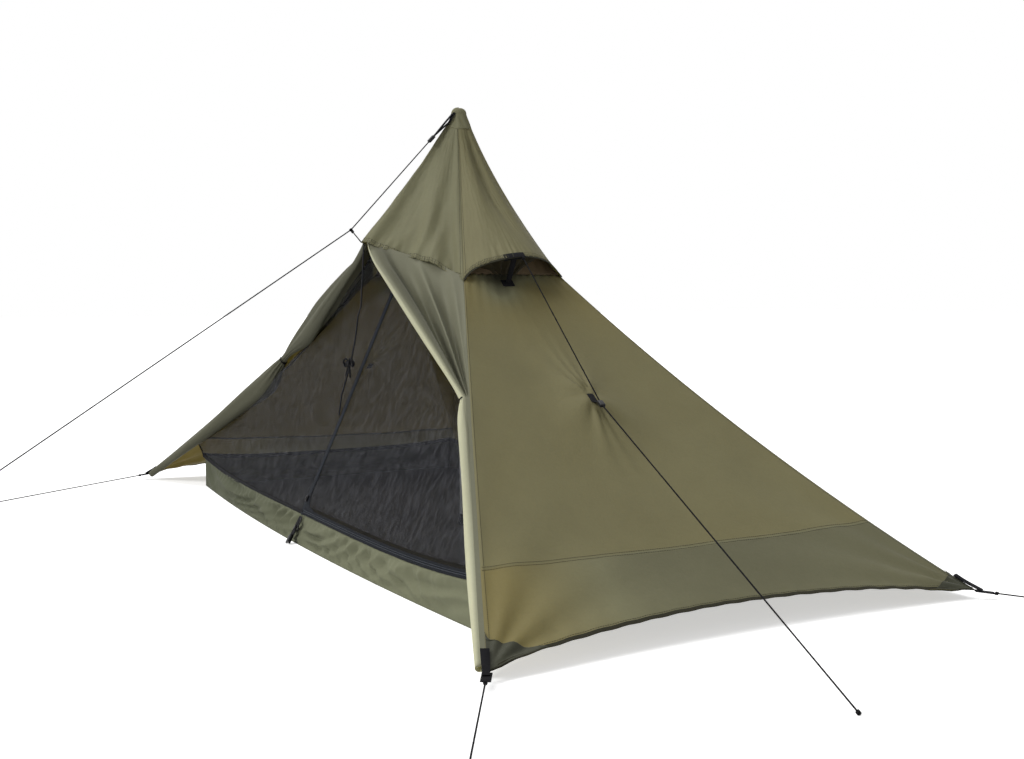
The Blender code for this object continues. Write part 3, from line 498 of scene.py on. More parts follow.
def skinned(name, rings, lengths, around):
    """A mesh over closed rings of points, with its ends closed. The UV map is in metres, round by along."""
    bm = bmesh.new()
    uv = bm.loops.layers.uv.new("UVMap")
    rings = [[bm.verts.new(point) for point in ring] for ring in rings]
    turn = len(rings[0])
    for k in range(len(rings) - 1):
        for i in range(turn):
            j = (i + 1) % turn
            face = bm.faces.new((rings[k][i], rings[k][j], rings[k + 1][j], rings[k + 1][i]))
            for loop, (u, v) in zip(face.loops, ((i, k), (i + 1, k), (i + 1, k + 1), (i, k + 1))):
                loop[uv].uv = (u / turn * around, lengths[v])
    bm.faces.new(rings[0][::-1])
    bm.faces.new(rings[-1])
    bmesh.ops.recalc_face_normals(bm, faces=bm.faces)
    return mesh_of(name, bm)


# The section of a tape, in half widths and half thicknesses, with its edges thinned.
TAPE_SECTION = ((-1, -0.55), (-0.86, -1), (0.86, -1), (1, -0.55), (1, 0.55), (0.86, 1), (-0.86, 1),
                (-1, 0.55))


def band_mesh(name, route, ways, width, thickness, end_width=None):
    """A flat tape along route. ways gives the direction of its width at each point."""
    directions, lengths = walked(route)
    rings = []
    for k, (point, along) in enumerate(zip(route, directions)):
        across = (ways[k] - along * ways[k].dot(along)).normalized()
        normal = along.cross(across)
        half = mix(width, end_width or width, k / (len(route) - 1)) / 2
        rings.append([point + across * (half * a) + normal * (thickness / 2 * b) for a, b in TAPE_SECTION])
    mesh = skinned(name, rings, lengths, width * 2)
    mesh.set_sharp_from_angle(angle=math.radians(35))
    return mesh


def band(name, route, ways, width, thickness, material, stands_for=(), end_width=None):
    route = [Vector(p) for p in route]
    ways = [ways] * len(route) if isinstance(ways, Vector) else ways
    mesh = band_mesh(name, route, ways, width, thickness, end_width)
    piece(name, mesh, [material], stands_for)


def smooth_route(points, count):
    """count points on a smooth curve through the given ones."""
    points = [Vector(p) for p in points]
    ends = [points[0] * 2 - points[1], *points, points[-1] * 2 - points[-2]]
    route = []
    for k in range(count):
        step = k * (len(points) - 1) / (count - 1)
        i = min(int(step), len(points) - 2)
        u = step - i
        a, b, c, d = ends[i : i + 4]
        curve = 2 * b + (c - a) * u + (2 * a - 5 * b + 4 * c - d) * u * u + (3 * b - a - 3 * c + d) * u**3
        route.append(0.5 * curve)
    return route


def on_ring(centre, way, other, reach, angle):
    return centre + (way * math.cos(angle) + other * math.sin(angle)) * reach


def tube_mesh(name, route, radius, sides=10):
    """A round cord along route."""
    route = [Vector(p) for p in route]
    directions, lengths = walked(route)
    side = ALONG_Z if abs(directions[0].z) < 0.9 else ALONG_X
    rings = []
    for point, along in zip(route, directions):
        side = (side - along * side.dot(along)).normalized()
        other = along.cross(side)
        rings.append([on_ring(point, side, other, radius, 2 * math.pi * i / sides) for i in range(sides)])
    return skinned(name, rings, lengths, 2 * math.pi * radius)


def joined(name, meshes):
    """Several meshes as one."""
    bm = bmesh.new()
    for mesh in meshes:
        bm.from_mesh(mesh)
        bpy.data.meshes.remove(mesh)
    return mesh_of(name, bm, smooth=False)


def rounded_block(name, size, place, bevel):
    bm = bmesh.new()
    bmesh.ops.create_cube(bm, size=1, matrix=Matrix.Diagonal((*size, 1)), calc_uvs=True)
    bmesh.ops.bevel(bm, geom=bm.edges[:], offset=bevel, segments=3, profile=0.5, affect="EDGES")
    bmesh.ops.transform(bm, matrix=place, verts=bm.verts)
    mesh = mesh_of(name, bm)
    mesh.set_sharp_from_angle(angle=math.radians(40))
    return mesh


def frame_at(point, forward, up):
    """A matrix whose X axis runs along forward and whose Z axis is as near to up as it can be."""
    x = Vector(forward).normalized()
    y = Vector(up).cross(x).normalized()
    return Matrix.Translation(point) @ Matrix((x, y, x.cross(y))).transposed().to_4x4()


def mirrored(point):
    return Vector((-point[0], point[1], point[2]))


# Stitches, gathers and zip teeth


def repeat_tree():
    """Puts a small bar at every step along the curves it is given."""
    tree = bpy.data.node_groups.new("bars_along_curves", "GeometryNodeTree")
    kinds = {"Geometry": "Geometry", "Step": "Float", "Length": "Float", "Radius": "Float",
             "Material": "Material"}
    for name, kind in kinds.items():
        tree.interface.new_socket(name, in_out="INPUT", socket_type="NodeSocket" + kind)
    tree.interface.new_socket("Geometry", in_out="OUTPUT", socket_type="NodeSocketGeometry")
    start, end = tree.nodes.new("NodeGroupInput"), tree.nodes.new("NodeGroupOutput")
    points = tree.nodes.new("GeometryNodeCurveToPoints")
    points.mode = "LENGTH"
    bar = tree.nodes.new("GeometryNodeMeshCylinder")
    bar.inputs["Vertices"].default_value = 6
    copies = tree.nodes.new("GeometryNodeInstanceOnPoints")
    real = tree.nodes.new("GeometryNodeRealizeInstances")
    paint = tree.nodes.new("GeometryNodeSetMaterial")
    link = tree.links.new
    link(start.outputs["Geometry"], points.inputs["Curve"])
    link(start.outputs["Step"], points.inputs["Length"])
    link(start.outputs["Length"], bar.inputs["Depth"])
    link(start.outputs["Radius"], bar.inputs["Radius"])
    link(points.outputs["Points"], copies.inputs["Points"])
    link(points.outputs["Rotation"], copies.inputs["Rotation"])
    link(bar.outputs["Mesh"], copies.inputs["Instance"])
    link(copies.outputs["Instances"], real.inputs["Geometry"])
    link(real.outputs["Geometry"], paint.inputs["Geometry"])
    link(start.outputs["Material"], paint.inputs["Material"])
    link(paint.outputs["Geometry"], end.inputs["Geometry"])
    return tree


REPEAT = repeat_tree()


def repeated(name, lines, step, length, radius, material):
    """A small bar at every step along each line, such as a stitch or a zip tooth, as one piece."""
    curve = bpy.data.curves.new(name, "CURVE")
    curve.dimensions = "3D"
    for line in lines:
        spline = curve.splines.new("POLY")
        spline.points.add(len(line) - 1)
        for k, point in enumerate(line):
            spline.points[k].co = (*point, 1)
    source = bpy.data.objects.new(name, curve)
    bpy.context.scene.collection.objects.link(source)
    modifier = source.modifiers.new("bars", "NODES")
    modifier.node_group = REPEAT
    sockets = {item.name: item.identifier for item in REPEAT.interface.items_tree if item.in_out == "INPUT"}
    for key, value in (("Step", step), ("Length", length), ("Radius", radius), ("Material", material)):
        modifier[sockets[key]] = value
    shown = source.evaluated_get(bpy.context.evaluated_depsgraph_get())
    mesh = bpy.data.meshes.new_from_object(shown)
    bpy.data.objects.remove(source)
    piece(name, mesh, [])


def off_surface(place, s, t, lift, step=0.004):
    """A point a little way off a surface."""
    across = place(min(s + step, 1), t) - place(max(s - step, -1), t)
    up = place(s, min(t + step, 1)) - place(s, max(t - step, 0))
    return place(s, t) + across.cross(up).normalized() * lift


def surface_line(place, spots, lift):
    return [off_surface(place, s, t, lift) for s, t in spots]


# The fly


def on_face(face, s, half_x, half_y, out, z):
    return {
        "front": Vector((s * half_x, -half_y - out, z)),
        "right": Vector((half_x + out, s * half_y, z)),
        "back": Vector((s * half_x, half_y + out, z)),
        "left": Vector((-half_x - out, s * half_y, z)),
    }[face]


def plan_half(spread):
    return mix(TIP_HALF, FLY_HALF_LENGTH, spread), mix(TIP_HALF, FLY_HALF_WIDTH, spread)


def cap_point(face, s, v):
    half_x, half_y = plan_half(CAP_SPREAD * v**CAP_FLARE)
    out = up = 0.0
    if face == "front":
        out, up = PEAK_OUT * v * (1 - abs(s)), PEAK_UP * v * (1 - abs(s))
    elif face in ("right", "left"):
        belly = v**HOOD_START * (1 - s * s)
        out, up = HOOD_OUT * belly, HOOD_UP * belly
    return on_face(face, s, half_x, half_y, out, mix(FLY_HEIGHT - APEX_CAP_LIFT, CAP_SEAM_HEIGHT, v) + up)


def ridge_height(v):
    return mix(CAP_SEAM_HEIGHT, CORNER_HEIGHT, v) - 4 * RIDGE_SAG * v * (1 - v)


def left_lift(v):
    """The tight ridge at the left front corner stands this much above the others."""
    return 4 * LEFT_RIDGE_LIFT * v * (1 - v)


def panel_point(face, s, v):
    half_x, half_y = plan_half(mix(CAP_SPREAD, 1, v))
    middle = 1 - s * s
    z = ridge_height(v) - FACE_SAG * middle * math.sin(math.pi * v)
    if face == "left":
        z += left_lift(v) * ((1 - s) / 2) ** 1.5
    if face == "back":
        z += BACK_HEM_LIFT * middle * v**6
    else:
        z += SIDE_HEM_LIFT * middle * v**6
        down, over = (v - PULL_OUT_SHARE) / PULL_OUT_REACH_DOWN, s / PULL_OUT_REACH_ACROSS
        z += PULL_OUT * math.exp(-down * down - over * over) * middle
    return on_face(face, s, half_x, half_y, 0, z)


def facing(face, point_at, s, v, step=0.01):
    """The outward direction of a face at (s, v), by its slopes."""
    across = point_at(face, min(s + step, 1), v) - point_at(face, max(s - step, -1), v)
    down = point_at(face, s, min(v + step, 1)) - point_at(face, s, max(v - step, 0.001))
    normal = across.cross(down)
    return normal.normalized() * (-1 if normal.z < 0 else 1)


def cap_wrinkle(face, s, v):
    """Loose folds down the cap, and puckers along the seam at its foot."""
    edge = ease(0, 0.12, 1 - abs(s)) * ease(0.04, 0.25, v)
    pucker = 0.0
    if face in ("front", "back"):
        wave = 12.5 * s + 1.3 * math.sin(3 * v) + 2.6 * ripple(1.6 * s, 1.5 * v, seed=3)
        down = 0.0088 * math.sin(wave) * v**1.2
        down += 0.0042 * math.sin(27 * s + 4 * ripple(2.5 * s, 3 * v, seed=12)) * ease(0.45, 1.0, v)
        pucker = 0.0022 * bump_at(1 - v, 0.07) * math.sin(84 * s + 5 * ripple(6 * s, seed=2))
    else:
        trough = bump_at(s - 0.12 + 0.25 * (0.6 - v), 0.34) * math.sin(math.pi * min(v / 0.95, 1)) ** 1.5
        down = 0.0045 * bump_at(s + 0.62, 0.2) * math.sin(math.pi * v) - 0.020 * trough
        down += 0.003 * math.sin(14 * s + 3 * v) * v * (1.02 - v)
        gather = math.sin(46 * s + 4 * ripple(5 * s, seed=6)) * ease(0.86, 1.0, v)
        down += 0.0016 * gather * bump_at(s + 0.45, 0.5)
    loose = 0.0034 * ripple(3.4 * s, 1.8 * v, seed=7 + len(face))
    fine = 0.0009 * ripple(26 * s, 11 * v, seed=5)
    if face == "back":
        edge *= ease(1.0, 0.84, v)
    return (down + loose + fine + pucker) * edge


def panel_wrinkle(face, s, v):
    """Tension folds from the corners, the pull-out and the seams, over a gentle unevenness."""
    back = face == "back"
    edge = ease(0, 0.05, 1 - abs(s))
    half_x, half_y = plan_half(mix(CAP_SPREAD, 1, v))
    start_x, start_y = plan_half(CAP_SPREAD)
    over, down = (s * half_x, half_y - start_y) if back else (s * half_y, half_x - start_x)
    corner_over = FLY_HALF_LENGTH if back else FLY_HALF_WIDTH
    corner_down = BACK_PANEL_RUN if back else SIDE_PANEL_RUN
    total = 0.0045 * ripple(1.3 * over, 1.7 * down, seed=len(face))
    total += 0.0016 * ripple(5 * over, 4 * down, seed=9)
    total += 0.0006 * ripple(23 * over, 17 * down, seed=4)
    for corner in (-1, 1):
        reach_over, reach_down = corner_over * corner - over, corner_down - down
        far = math.hypot(reach_over, reach_down)
        angle = math.atan2(reach_down, abs(reach_over))
        fan = math.sin(17 * angle + 1.2 * corner + 2 * ripple(3 * far, seed=7))
        total += 0.0060 * fan * ease(0.01, 0.10, far) * math.exp(-far / 0.28)
    if not back:
        far = math.hypot(over, (v - PULL_OUT_SHARE) * SIDE_PANEL_RUN)
        angle = math.atan2(v - PULL_OUT_SHARE, s + 1e-6)
        total += 0.0060 * math.sin(9 * angle) * ease(0.004, 0.035, far) * math.exp(-far / 0.085)
        total += 0.0016 * math.sin(38 * s + 3 * v) * math.exp(-v / 0.05)
    total += 0.0015 * math.sin(60 * s) * bump_at(1 - v, 0.06)
    return total * edge


def corner_reach(face, s, v):
    """How the cap's corner runs on down the ridge, over the top of the panels."""
    far_x, far_y = {"front": (s, -1), "right": (1, s), "back": (s, 1), "left": (-1, s)}[face]
    drop = CORNER_DROP if far_y < 0 else CORNER_DROP / 2
    down = drop * abs(s) ** (5 if face in ("front", "back") else 12) * v**6
    way = Vector((math.copysign(RIDGE_WAY[0], far_x), math.copysign(RIDGE_WAY[1], far_y), -RIDGE_WAY[2]))
    off = Vector((math.copysign(RIDGE_OFF[0], far_x), math.copysign(RIDGE_OFF[1], far_y), RIDGE_OFF[2]))
    return way * down + off * (0.0022 * ease(0.9, 1.0, v) * abs(s))


def leaning(point, v):
    """The cloth at the tip is round, and bulges towards the guy. Its far side stays on the pole."""
    half_x, half_y = plan_half(CAP_SPREAD * v**CAP_FLARE)
    off = math.hypot(point.x / half_x, point.y / half_y)
    rounder = mix(1, 1.12 / off, bump_at(v, 0.09))
    point = Vector((point.x * rounder, point.y * rounder, point.z))
    near = point.x * TIP_LEAN[0] + point.y * TIP_LEAN[1]
    share = 0.5 + 0.5 * max(-1, min(near / (0.014 * (TIP_HALF + 0.1 * v)), 1))
    return point + Vector(TIP_LEAN) * ((1 - v) ** 3 * share)


def cap_surface(face):
    side = -1 if face in ("back", "left") else 1

    def place(s, t):
        s, v = s * side, 1 - 0.97 * t
        point = leaning(cap_point(face, s, v), v) + corner_reach(face, s, v)
        if v < 0.04:
            return point
        return point + facing(face, cap_point, s, v) * cap_wrinkle(face, s, v)

    return place


def panel_surface(face):
    cut_share = BACK_HEM_CUT if face == "back" else SIDE_HEM_CUT
    side = -1 if face in ("back", "left") else 1
    start = BACK_PANEL_START if face == "back" else PANEL_START

    def place(s, t):
        s *= side
        v = mix(1 - cut_share * (1 - s * s), start, t)
        loose = panel_wrinkle(face, s, v) * (ease(start, 0.06, v) if face == "back" else 1)
        return panel_point(face, s, v) + facing(face, panel_point, s, max(v, 0)) * loose

    return place


def panel_painted_light(face):
    """Painted light on the panels: a painted glow where light comes through, most of all low at the near
    corner, painted shade on the skirts, and a painted shadow under the hood.
    """

    def painted_light_and_shade(s, t):
        s = -s if face == "left" else s
        v = mix(1 - SIDE_HEM_CUT * (1 - s * s), PANEL_START, t)
        upper = 0.42 + 0.10 * ripple(2.2 * s, 3 * v, seed=5) + 0.5 * bump_at(v, 0.16)
        if face == "back":
            return upper
        below = ease(SKIRT_SEAM - 0.004, SKIRT_SEAM + 0.004, v)
        # Painted shade: the skirt below its seam darker, with a painted glow low at the near corner.
        lower = -0.22 + 0.06 * ripple(2.2 * s, 3 * v, seed=8) + 1.1 * bump_at(s + 1, 0.42)
        # Painted shadow under the hood, strongest just under the brim.
        shade = 1.3 * bump_at(v, 0.032) * (1 - s * s)
        shade += 1.2 * bump_at(v - 0.045, 0.045) * bump_at(s + 0.35, 0.33)
        return mix(upper, lower, below) - shade

    return painted_light_and_shade


def hood_painted_glow(s, t):
    # Painted glow: the hoods a little warmer all over, as light shining through.
    return 0.30


def make_fly():
    """The cap's four cloths, and the three panels sewn under them."""
    for face, (size, share) in CAP_CUTS.items():
        painted_light_and_shade = hood_painted_glow if face in ("right", "left") else None
        sheet("cap_cloth_" + face, cap_surface(face), 110, 90, [FLY, LINING], ["cap_" + face], size,
              painted_light_and_shade=painted_light_and_shade, share=share)
    for face, (size, share) in PANEL_CUTS.items():
        sheet("panel_cloth_" + face, panel_surface(face), 120, 130, [FLY, LINING], ["panel_" + face], size,
              painted_light_and_shade=panel_painted_light(face), share=share)


def apex_point(s, t):
    """The doubled cloth over the tip, rounded where the pole's end presses on it."""
    turn = (s + 1) * 2 % 4
    face = ("front", "right", "back", "left")[int(turn)]
    across = 2 * (turn % 1) - 1
    if face in ("back", "left"):
        across = -across
    v = mix(APEX_FOOT, APEX_TOP, min(t / APEX_SKIRT, 1))
    lower = leaning(cap_point(face, across, v), v)
    dome = max(t - APEX_SKIRT, 0) / (1 - APEX_SKIRT)
    middle = Vector(TIP_LEAN) * 0.45
    narrow = math.cos(dome * math.pi / 2) ** 0.75 * 0.98 + 0.02 * (1 - dome)
    narrow *= 1.025 + 0.03 * bump_at(t - APEX_SKIRT, 0.3)
    rise = APEX_DOME * math.sin(dome * math.pi / 2)
    fold = 1 + 0.045 * math.sin(9 * math.pi * s + 5 * t) * math.sin(math.pi * min(t / APEX_SKIRT, 1))
    flat = Vector((lower.x - middle.x, lower.y - middle.y, 0)) * (narrow * fold)
    return Vector((middle.x + flat.x, middle.y + flat.y, lower.z + rise))


def make_apex_patch():
    """The cloth over the tip, and the webbing bar that the upper guy pulls on."""
    mesh = grid_mesh("apex_patch", apex_point, 96, 34, 0.0009, None, (0.16, 0.06), closed=True)
    piece("apex_patch", mesh, [FLY, LINING], ["apex_cap"])
    bar = ((-0.003, -0.024, 1.236), (-0.003, -0.052, 1.205), (-0.001, -0.078, 1.176), (0, -0.093, 1.160))
    band("apex_bar", smooth_route(bar, 24), ALONG_X, 0.013, 0.0035, WEBBING, end_width=0.008)


# The door flaps


def ridge_point(v):
    half_x, half_y = plan_half(mix(CAP_SPREAD, 1, v))
    return Vector((half_x, -half_y, ridge_height(v)))


def ridge_side():
    return Vector((-FLY_HALF_WIDTH + TIP_HALF, -FLY_HALF_LENGTH + TIP_HALF, 0)).normalized()


def roll_radius(w):
    if w < FLAP_TIE:
        return mix(ROLL_RADIUS_HEAD, ROLL_RADIUS_TIE, w / FLAP_TIE)
    below = (w - FLAP_TIE) / (1 - FLAP_TIE)
    swell = 1 - math.exp(-below / ROLL_SWELL)
    return mix(ROLL_RADIUS_TIE, mix(ROLL_RADIUS_BELLY, ROLL_RADIUS_END, below), swell)


def roll_line(w):
    if w < FLAP_TIE:
        tie = ridge_point(FLAP_TIE) + ridge_side() * ROLL_SIDE_STEP
        return Vector(ROLL_HEAD).lerp(tie, w / FLAP_TIE)
    return ridge_point(w) + ridge_side() * ROLL_SIDE_STEP


def roll_frame(w):
    """The ridge beside the roll, the way across to the roll, and the way outwards."""
    edge = ridge_point(w)
    across = (roll_line(w) - edge).normalized()
    along = roll_line(w + 0.004) - roll_line(w - 0.004)
    return edge, across, along.cross(across).normalized()


def flap_folds(f, w, gather):
    """Deep folds that fan up from the tie: valleys beside the roll, in the middle and beside the ridge."""
    wide = 0.034 * bump_at(f - 0.62, 0.13) + 0.026 * bump_at(f - 0.27, 0.12)
    deep = 0.034 * bump_at(f - 0.84, 0.07) + 0.022 * bump_at(f - 0.45, 0.06)
    deep += 0.006 * bump_at(f - 0.12, 0.04)
    fine = 0.0035 * math.sin(34 * f + 5 * w + 2 * ripple(3 * f, 6 * w, seed=5)) * ease(0.22, 0.0, w)
    loose = 0.004 * ripple(5 * f, 16 * w, seed=6)
    return (wide - deep + fine + loose) * gather * math.sin(math.pi * min(max(f, 0), 1)) ** 0.35


def seam_point(f, w):
    """The flap's head, sewn inside the cap's lower edge."""
    across = mix(1, 0.03, f)
    inside = Vector((0, 0.0025, -0.0015))
    return cap_point("front", across, 0.985 + 0.4 * w) + inside + corner_reach("front", across, 0.97)


def flap_row(t):
    """How far down the ridge a row of the flap lies, with the rows closest at the head and the tie."""
    if t < 0.5:
        return mix(FLAP_START, FLAP_TIE, (2 * t) ** 1.2)
    return mix(FLAP_TIE, FLAP_END, (2 * t - 1) ** 1.5)


def flap_point(s, t, bulk=1.0):
    """The right flap: flat from the ridge to its roll, then wound outwards on itself.

    bulk makes the roll looser.
    """
    p = (s + 1) / 2
    w = flap_row(t)
    edge, across, outward = roll_frame(w)
    near_tie = bump_at(w - FLAP_TIE, 0.055)
    upper = math.sin(math.pi * min(w / FLAP_TIE, 1))
    swell = 1 + 0.75 * upper**1.5 + 0.12 * ease(FLAP_TIE, FLAP_TIE + 0.1, w)
    radius = roll_radius(w) * mix(bulk * swell, 1.0, near_tie)
    line = roll_line(w) - across * (radius - roll_radius(w)) * 0.9
    head = 1 - ease(FLAP_START, 0.045, w)
    line = line.lerp(seam_point(0.97, w) - outward * radius * 0.6, head)
    if p <= FLAP_FLAT_SHARE:
        f = p / FLAP_FLAT_SHARE
        point = edge.lerp(line, f) + outward * flap_folds(f, w, upper**0.75)
        return point.lerp(seam_point(f, w), head)
    turn = (p - FLAP_FLAT_SHARE) / (1 - FLAP_FLAT_SHARE) * ROLL_TURNS
    angle = 2 * math.pi * turn - math.pi / 2
    below = ease(FLAP_TIE, FLAP_TIE + 0.08, w)
    lumps = 0.12 * math.sin(2 * angle + 7 * w + 1) + 0.05 * math.sin(3 * angle - 15 * w)
    uneven = 1 + lumps * (0.4 + 0.6 * below)
    uneven += 0.16 * bump_at(angle - 4.2, 0.5) * ease(0.55, 0.95, w)
    uneven += 0.10 * near_tie * math.sin(9 * angle)
    reach = radius * uneven - ROLL_PITCH * turn * (radius / ROLL_RADIUS_TIE) ** 0.5
    return on_ring(line + outward * radius, across, outward, reach, angle)


def left_flap_point(s, t):
    """The left flap is looser, and follows its own higher ridge."""
    w = flap_row(t)
    upper = math.sin(math.pi * min(w / FLAP_TIE, 1)) * (w < FLAP_TIE)
    out = Vector((-0.004, -0.008, 0)) * upper * (1 - s) / 2
    fat = 1.25 + 0.55 * bump_at(w - 0.27, 0.07) + 0.15 * bump_at(w - 0.46, 0.06)
    return mirrored(flap_point(-s, t, fat)) + ALONG_Z * left_lift(w) + out


def right_flap_painted_light(s, t):
    """Pale on the wound roll, partly for the doubled cloth and partly as a painted highlight, and painted
    shade in the valley beside it.
    """
    share = (s + 1) / 2
    valley_shade = bump_at(share - 0.355, 0.035) * math.sin(math.pi * min(2 * t, 1)) ** 0.5
    return 0.14 + 0.82 * ease(0.38, 0.5, share) - 0.5 * valley_shade


def left_flap_painted_shade(s, t):
    # Painted shade: the left flap darker all over, as it hangs turned from the light.
    return -0.20


def make_flaps():
    shapes = {"right": (flap_point, right_flap_painted_light), "left": (left_flap_point, left_flap_painted_shade)}
    for side, (place, painted_light_and_shade) in shapes.items():
        mesh = grid_mesh("flap_cloth_" + side, place, 150, 190, CLOTH, painted_light_and_shade, (0.33, 1.3))
        obj = piece("flap_cloth_" + side, mesh, [FLAP, FLAP], ["flap_" + side])


def make_tiebacks():
    """The cord round each roll, with the small turns of its knot."""
    _, across, outward = roll_frame(FLAP_TIE)
    radius = roll_radius(FLAP_TIE)
    centre, reach = roll_line(FLAP_TIE) + outward * radius, radius + 0.0024
    loop = [on_ring(centre, across, outward, reach, math.radians(mix(-62, 215, k / 40))) for k in range(41)]
    knot = [on_ring(loop[20] + outward * (0.0006 * k - 0.004), across, ALONG_Z, 0.003, 0.9 * k)
            for k in range(14)]
    for side, turn, lift in (("right", Vector, Vector()), ("left", mirrored, ALONG_Z * left_lift(FLAP_TIE))):
        tube = tube_mesh("loop", [turn(p) + lift for p in loop], 0.0015)
        turns = tube_mesh("turns", [turn(p) + lift for p in knot], 0.0013, sides=8)
        name = "tieback_cord_" + side
        piece(name, joined(name, [tube, turns]), [BRAID], ["tieback_" + side])


# The inner tent


def rim_height(face, u):
    return RIM_HEIGHT - RIM_SAG[face] * (1 - u**4)


def mesh_share(z):
    return (z - RIM_HEIGHT) / (MESH_TOP - RIM_HEIGHT)


def mesh_half_x(w):
    w = max(w, 0)
    return MESH_TOP_HALF + (INNER_HALF_LENGTH - MESH_TOP_HALF) * (1 - w) ** (1 + MESH_WAIST * w)


def mesh_front(w):
    return -MESH_TOP_HALF - (INNER_HALF_WIDTH - MESH_TOP_HALF) * (1 - w)


def mesh_back(w):
    return MESH_TOP_HALF + (INNER_HALF_WIDTH - MESH_TOP_HALF) * (1 - w) ** MESH_BACK_FLARE


def crease(x):
    """A fold with a soft ridge and a sharp valley, once for each whole step of x."""
    return 0.5 - abs(2 * (x % 1) - 1) ** 0.8


def wall_point(face, s, t):
    """A wall of the tub, with the fine gathers under its rim and slanting folds below them."""
    rim = rim_height(face, s)
    half = INNER_HALF_LENGTH if face in ("front", "back") else INNER_HALF_WIDTH
    over = s * half
    fixed = math.sin(math.pi * min(t * 1.02, 1)) ** 0.7 * (1 - s**8)
    leans = 8.0 * over + 1.1 * t + 2.6 * ripple(2.7 * over, 0.8 * t, seed=11)
    other = 5.5 * over - 1.4 * t + 2.6 * ripple(2.1 * over, 0.8 * t, seed=15)
    turns = 0.9 * ripple(2 * over, t, seed=21)
    out = 0.0095 * fixed * ripple(5.5 * over + 1.2 * t, 1.3 * t, seed=3)
    out += 0.0250 * fixed * crease(leans) * (0.55 + turns)
    out += 0.0210 * fixed * crease(other) * (0.55 - turns)
    out += 0.0022 * fixed * math.sin(190 * over + 3 * ripple(9 * over, seed=1)) * bump_at(t - 0.9, 0.16)
    if face == "front":
        out += mix(FLOOR_BOW * (1 - s * s), -mesh_front(mesh_share(rim)) - INNER_HALF_WIDTH, t)
    elif face == "back":
        out += (mesh_back(mesh_share(rim)) - INNER_HALF_WIDTH) * t
    return on_face(face, s, INNER_HALF_LENGTH, INNER_HALF_WIDTH, out, rim * t)


def floor_point(s, t):
    front = -INNER_HALF_WIDTH - FLOOR_BOW * (1 - s * s) + 0.002
    y = mix(front, INNER_HALF_WIDTH - 0.002, t)
    return Vector((s * (INNER_HALF_LENGTH - 0.002), y, 0.0017 + 0.0004 * ripple(7 * s, 5 * t, seed=2)))


def left_edge(w):
    """The left front edge of the netting, drawn out to the tight ridge above it."""
    for (w0, x0), (w1, x1) in zip(LEFT_EDGE, LEFT_EDGE[1:]):
        if w <= w1:
            return mix(x0, x1, (max(w, 0) - w0) / (w1 - w0))
    return LEFT_EDGE[-1][1]


def corner_pull(w):
    """The netting's left front edge comes forward above the rim, and behind the flap at the door's peak."""
    forward = max(0.292 + mesh_front(w), 0) * ease(0.44, 0.56, w) * ease(0.80, 0.69, w)
    return 0.045 * bump_at(w - 0.060, 0.045) + forward


def under_fly(point):
    """A point of the netting, brought in under the left flap and the left panel where they hang lower."""
    beyond = (point - FLAP_SPOT).dot(FLAP_WAY) + FLAP_MARGIN
    if beyond > 0:
        point.y += beyond / -FLAP_WAY.y * ease(0.40, 0.46, point.z) * ease(0.87, 0.81, point.z)
    for _ in range(INWARD_TRIES):
        spread = (-point.x - TIP_HALF) / (FLY_HALF_LENGTH - TIP_HALF)
        across = point.y / mix(TIP_HALF, FLY_HALF_WIDTH, max(spread, 0))
        v = (spread - CAP_SPREAD) / (1 - CAP_SPREAD)
        margin = mix(0.004, 0.016, ease(-1, -0.8, across))
        if v <= 0 or abs(across) > 1 or point.z < panel_point("left", across, v).z - margin:
            return point
        point.x *= INWARD_STEP
    return point


def netting_point(face, s, t, left=None, right=None, low=0.0):
    """A point of one face of the netting, from low metres above the rim up to its top."""
    share = (s + 1) / 2
    on_end = face in ("right", "left")

    def across(w):
        if on_end:
            return mix(mesh_front(max(w, 0)), mesh_back(max(w, 0)), share)
        reach = mesh_half_x(w)
        far = left_edge(w) if face == "front" else reach
        return mix(-far if left is None else left, reach if right is None else right, share)

    rim = rim_height(face, across(0) / (INNER_HALF_WIDTH if on_end else INNER_HALF_LENGTH)) + low
    z = mix(rim, MESH_TOP, t)
    w = mesh_share(z)
    over = across(w)
    if face == "right":
        return Vector((mesh_half_x(w), over, z))
    if face == "back":
        return Vector((over, mesh_back(w), z))
    if left is not None:
        return Vector((over, mesh_front(w), z))
    forward = corner_pull(w) * (1 - share) ** 3
    if face == "left":
        drawn = mix(left_edge(w), mesh_half_x(w), ease(0, 1, share))
        return under_fly(Vector((-drawn, over - forward, z)))
    return under_fly(Vector((over, mesh_front(w) - forward, z)))


def draped(face, s, t, **edges):
    """The netting between its seams hangs slack, in pleats."""
    point = netting_point(face, s, t, **edges)
    hold = ease(0, 0.06, t) * ease(0, 0.06, 1 - t) * ease(0, 0.1, 1 - abs(s))
    push = 0.006 * ripple(2.0 * point.x + 1.1 * point.y, 2.0 * point.z, seed=4) * hold
    pleat = 0.0022 * hold * ripple(26 * point.x + 20 * point.y, 1.6 * point.z, seed=9)
    inwards = (Vector((0, 0, 0.6)) - point).normalized()
    return point + inwards * (0.004 * hold + push + pleat)


def tub_painted_shade(s, t):
    # Painted shade: each wall darker towards s = -1, most of all the left end of the front wall under the
    # left flap.
    return 0.75 * ease(0.9, -0.8, s) + 0.15


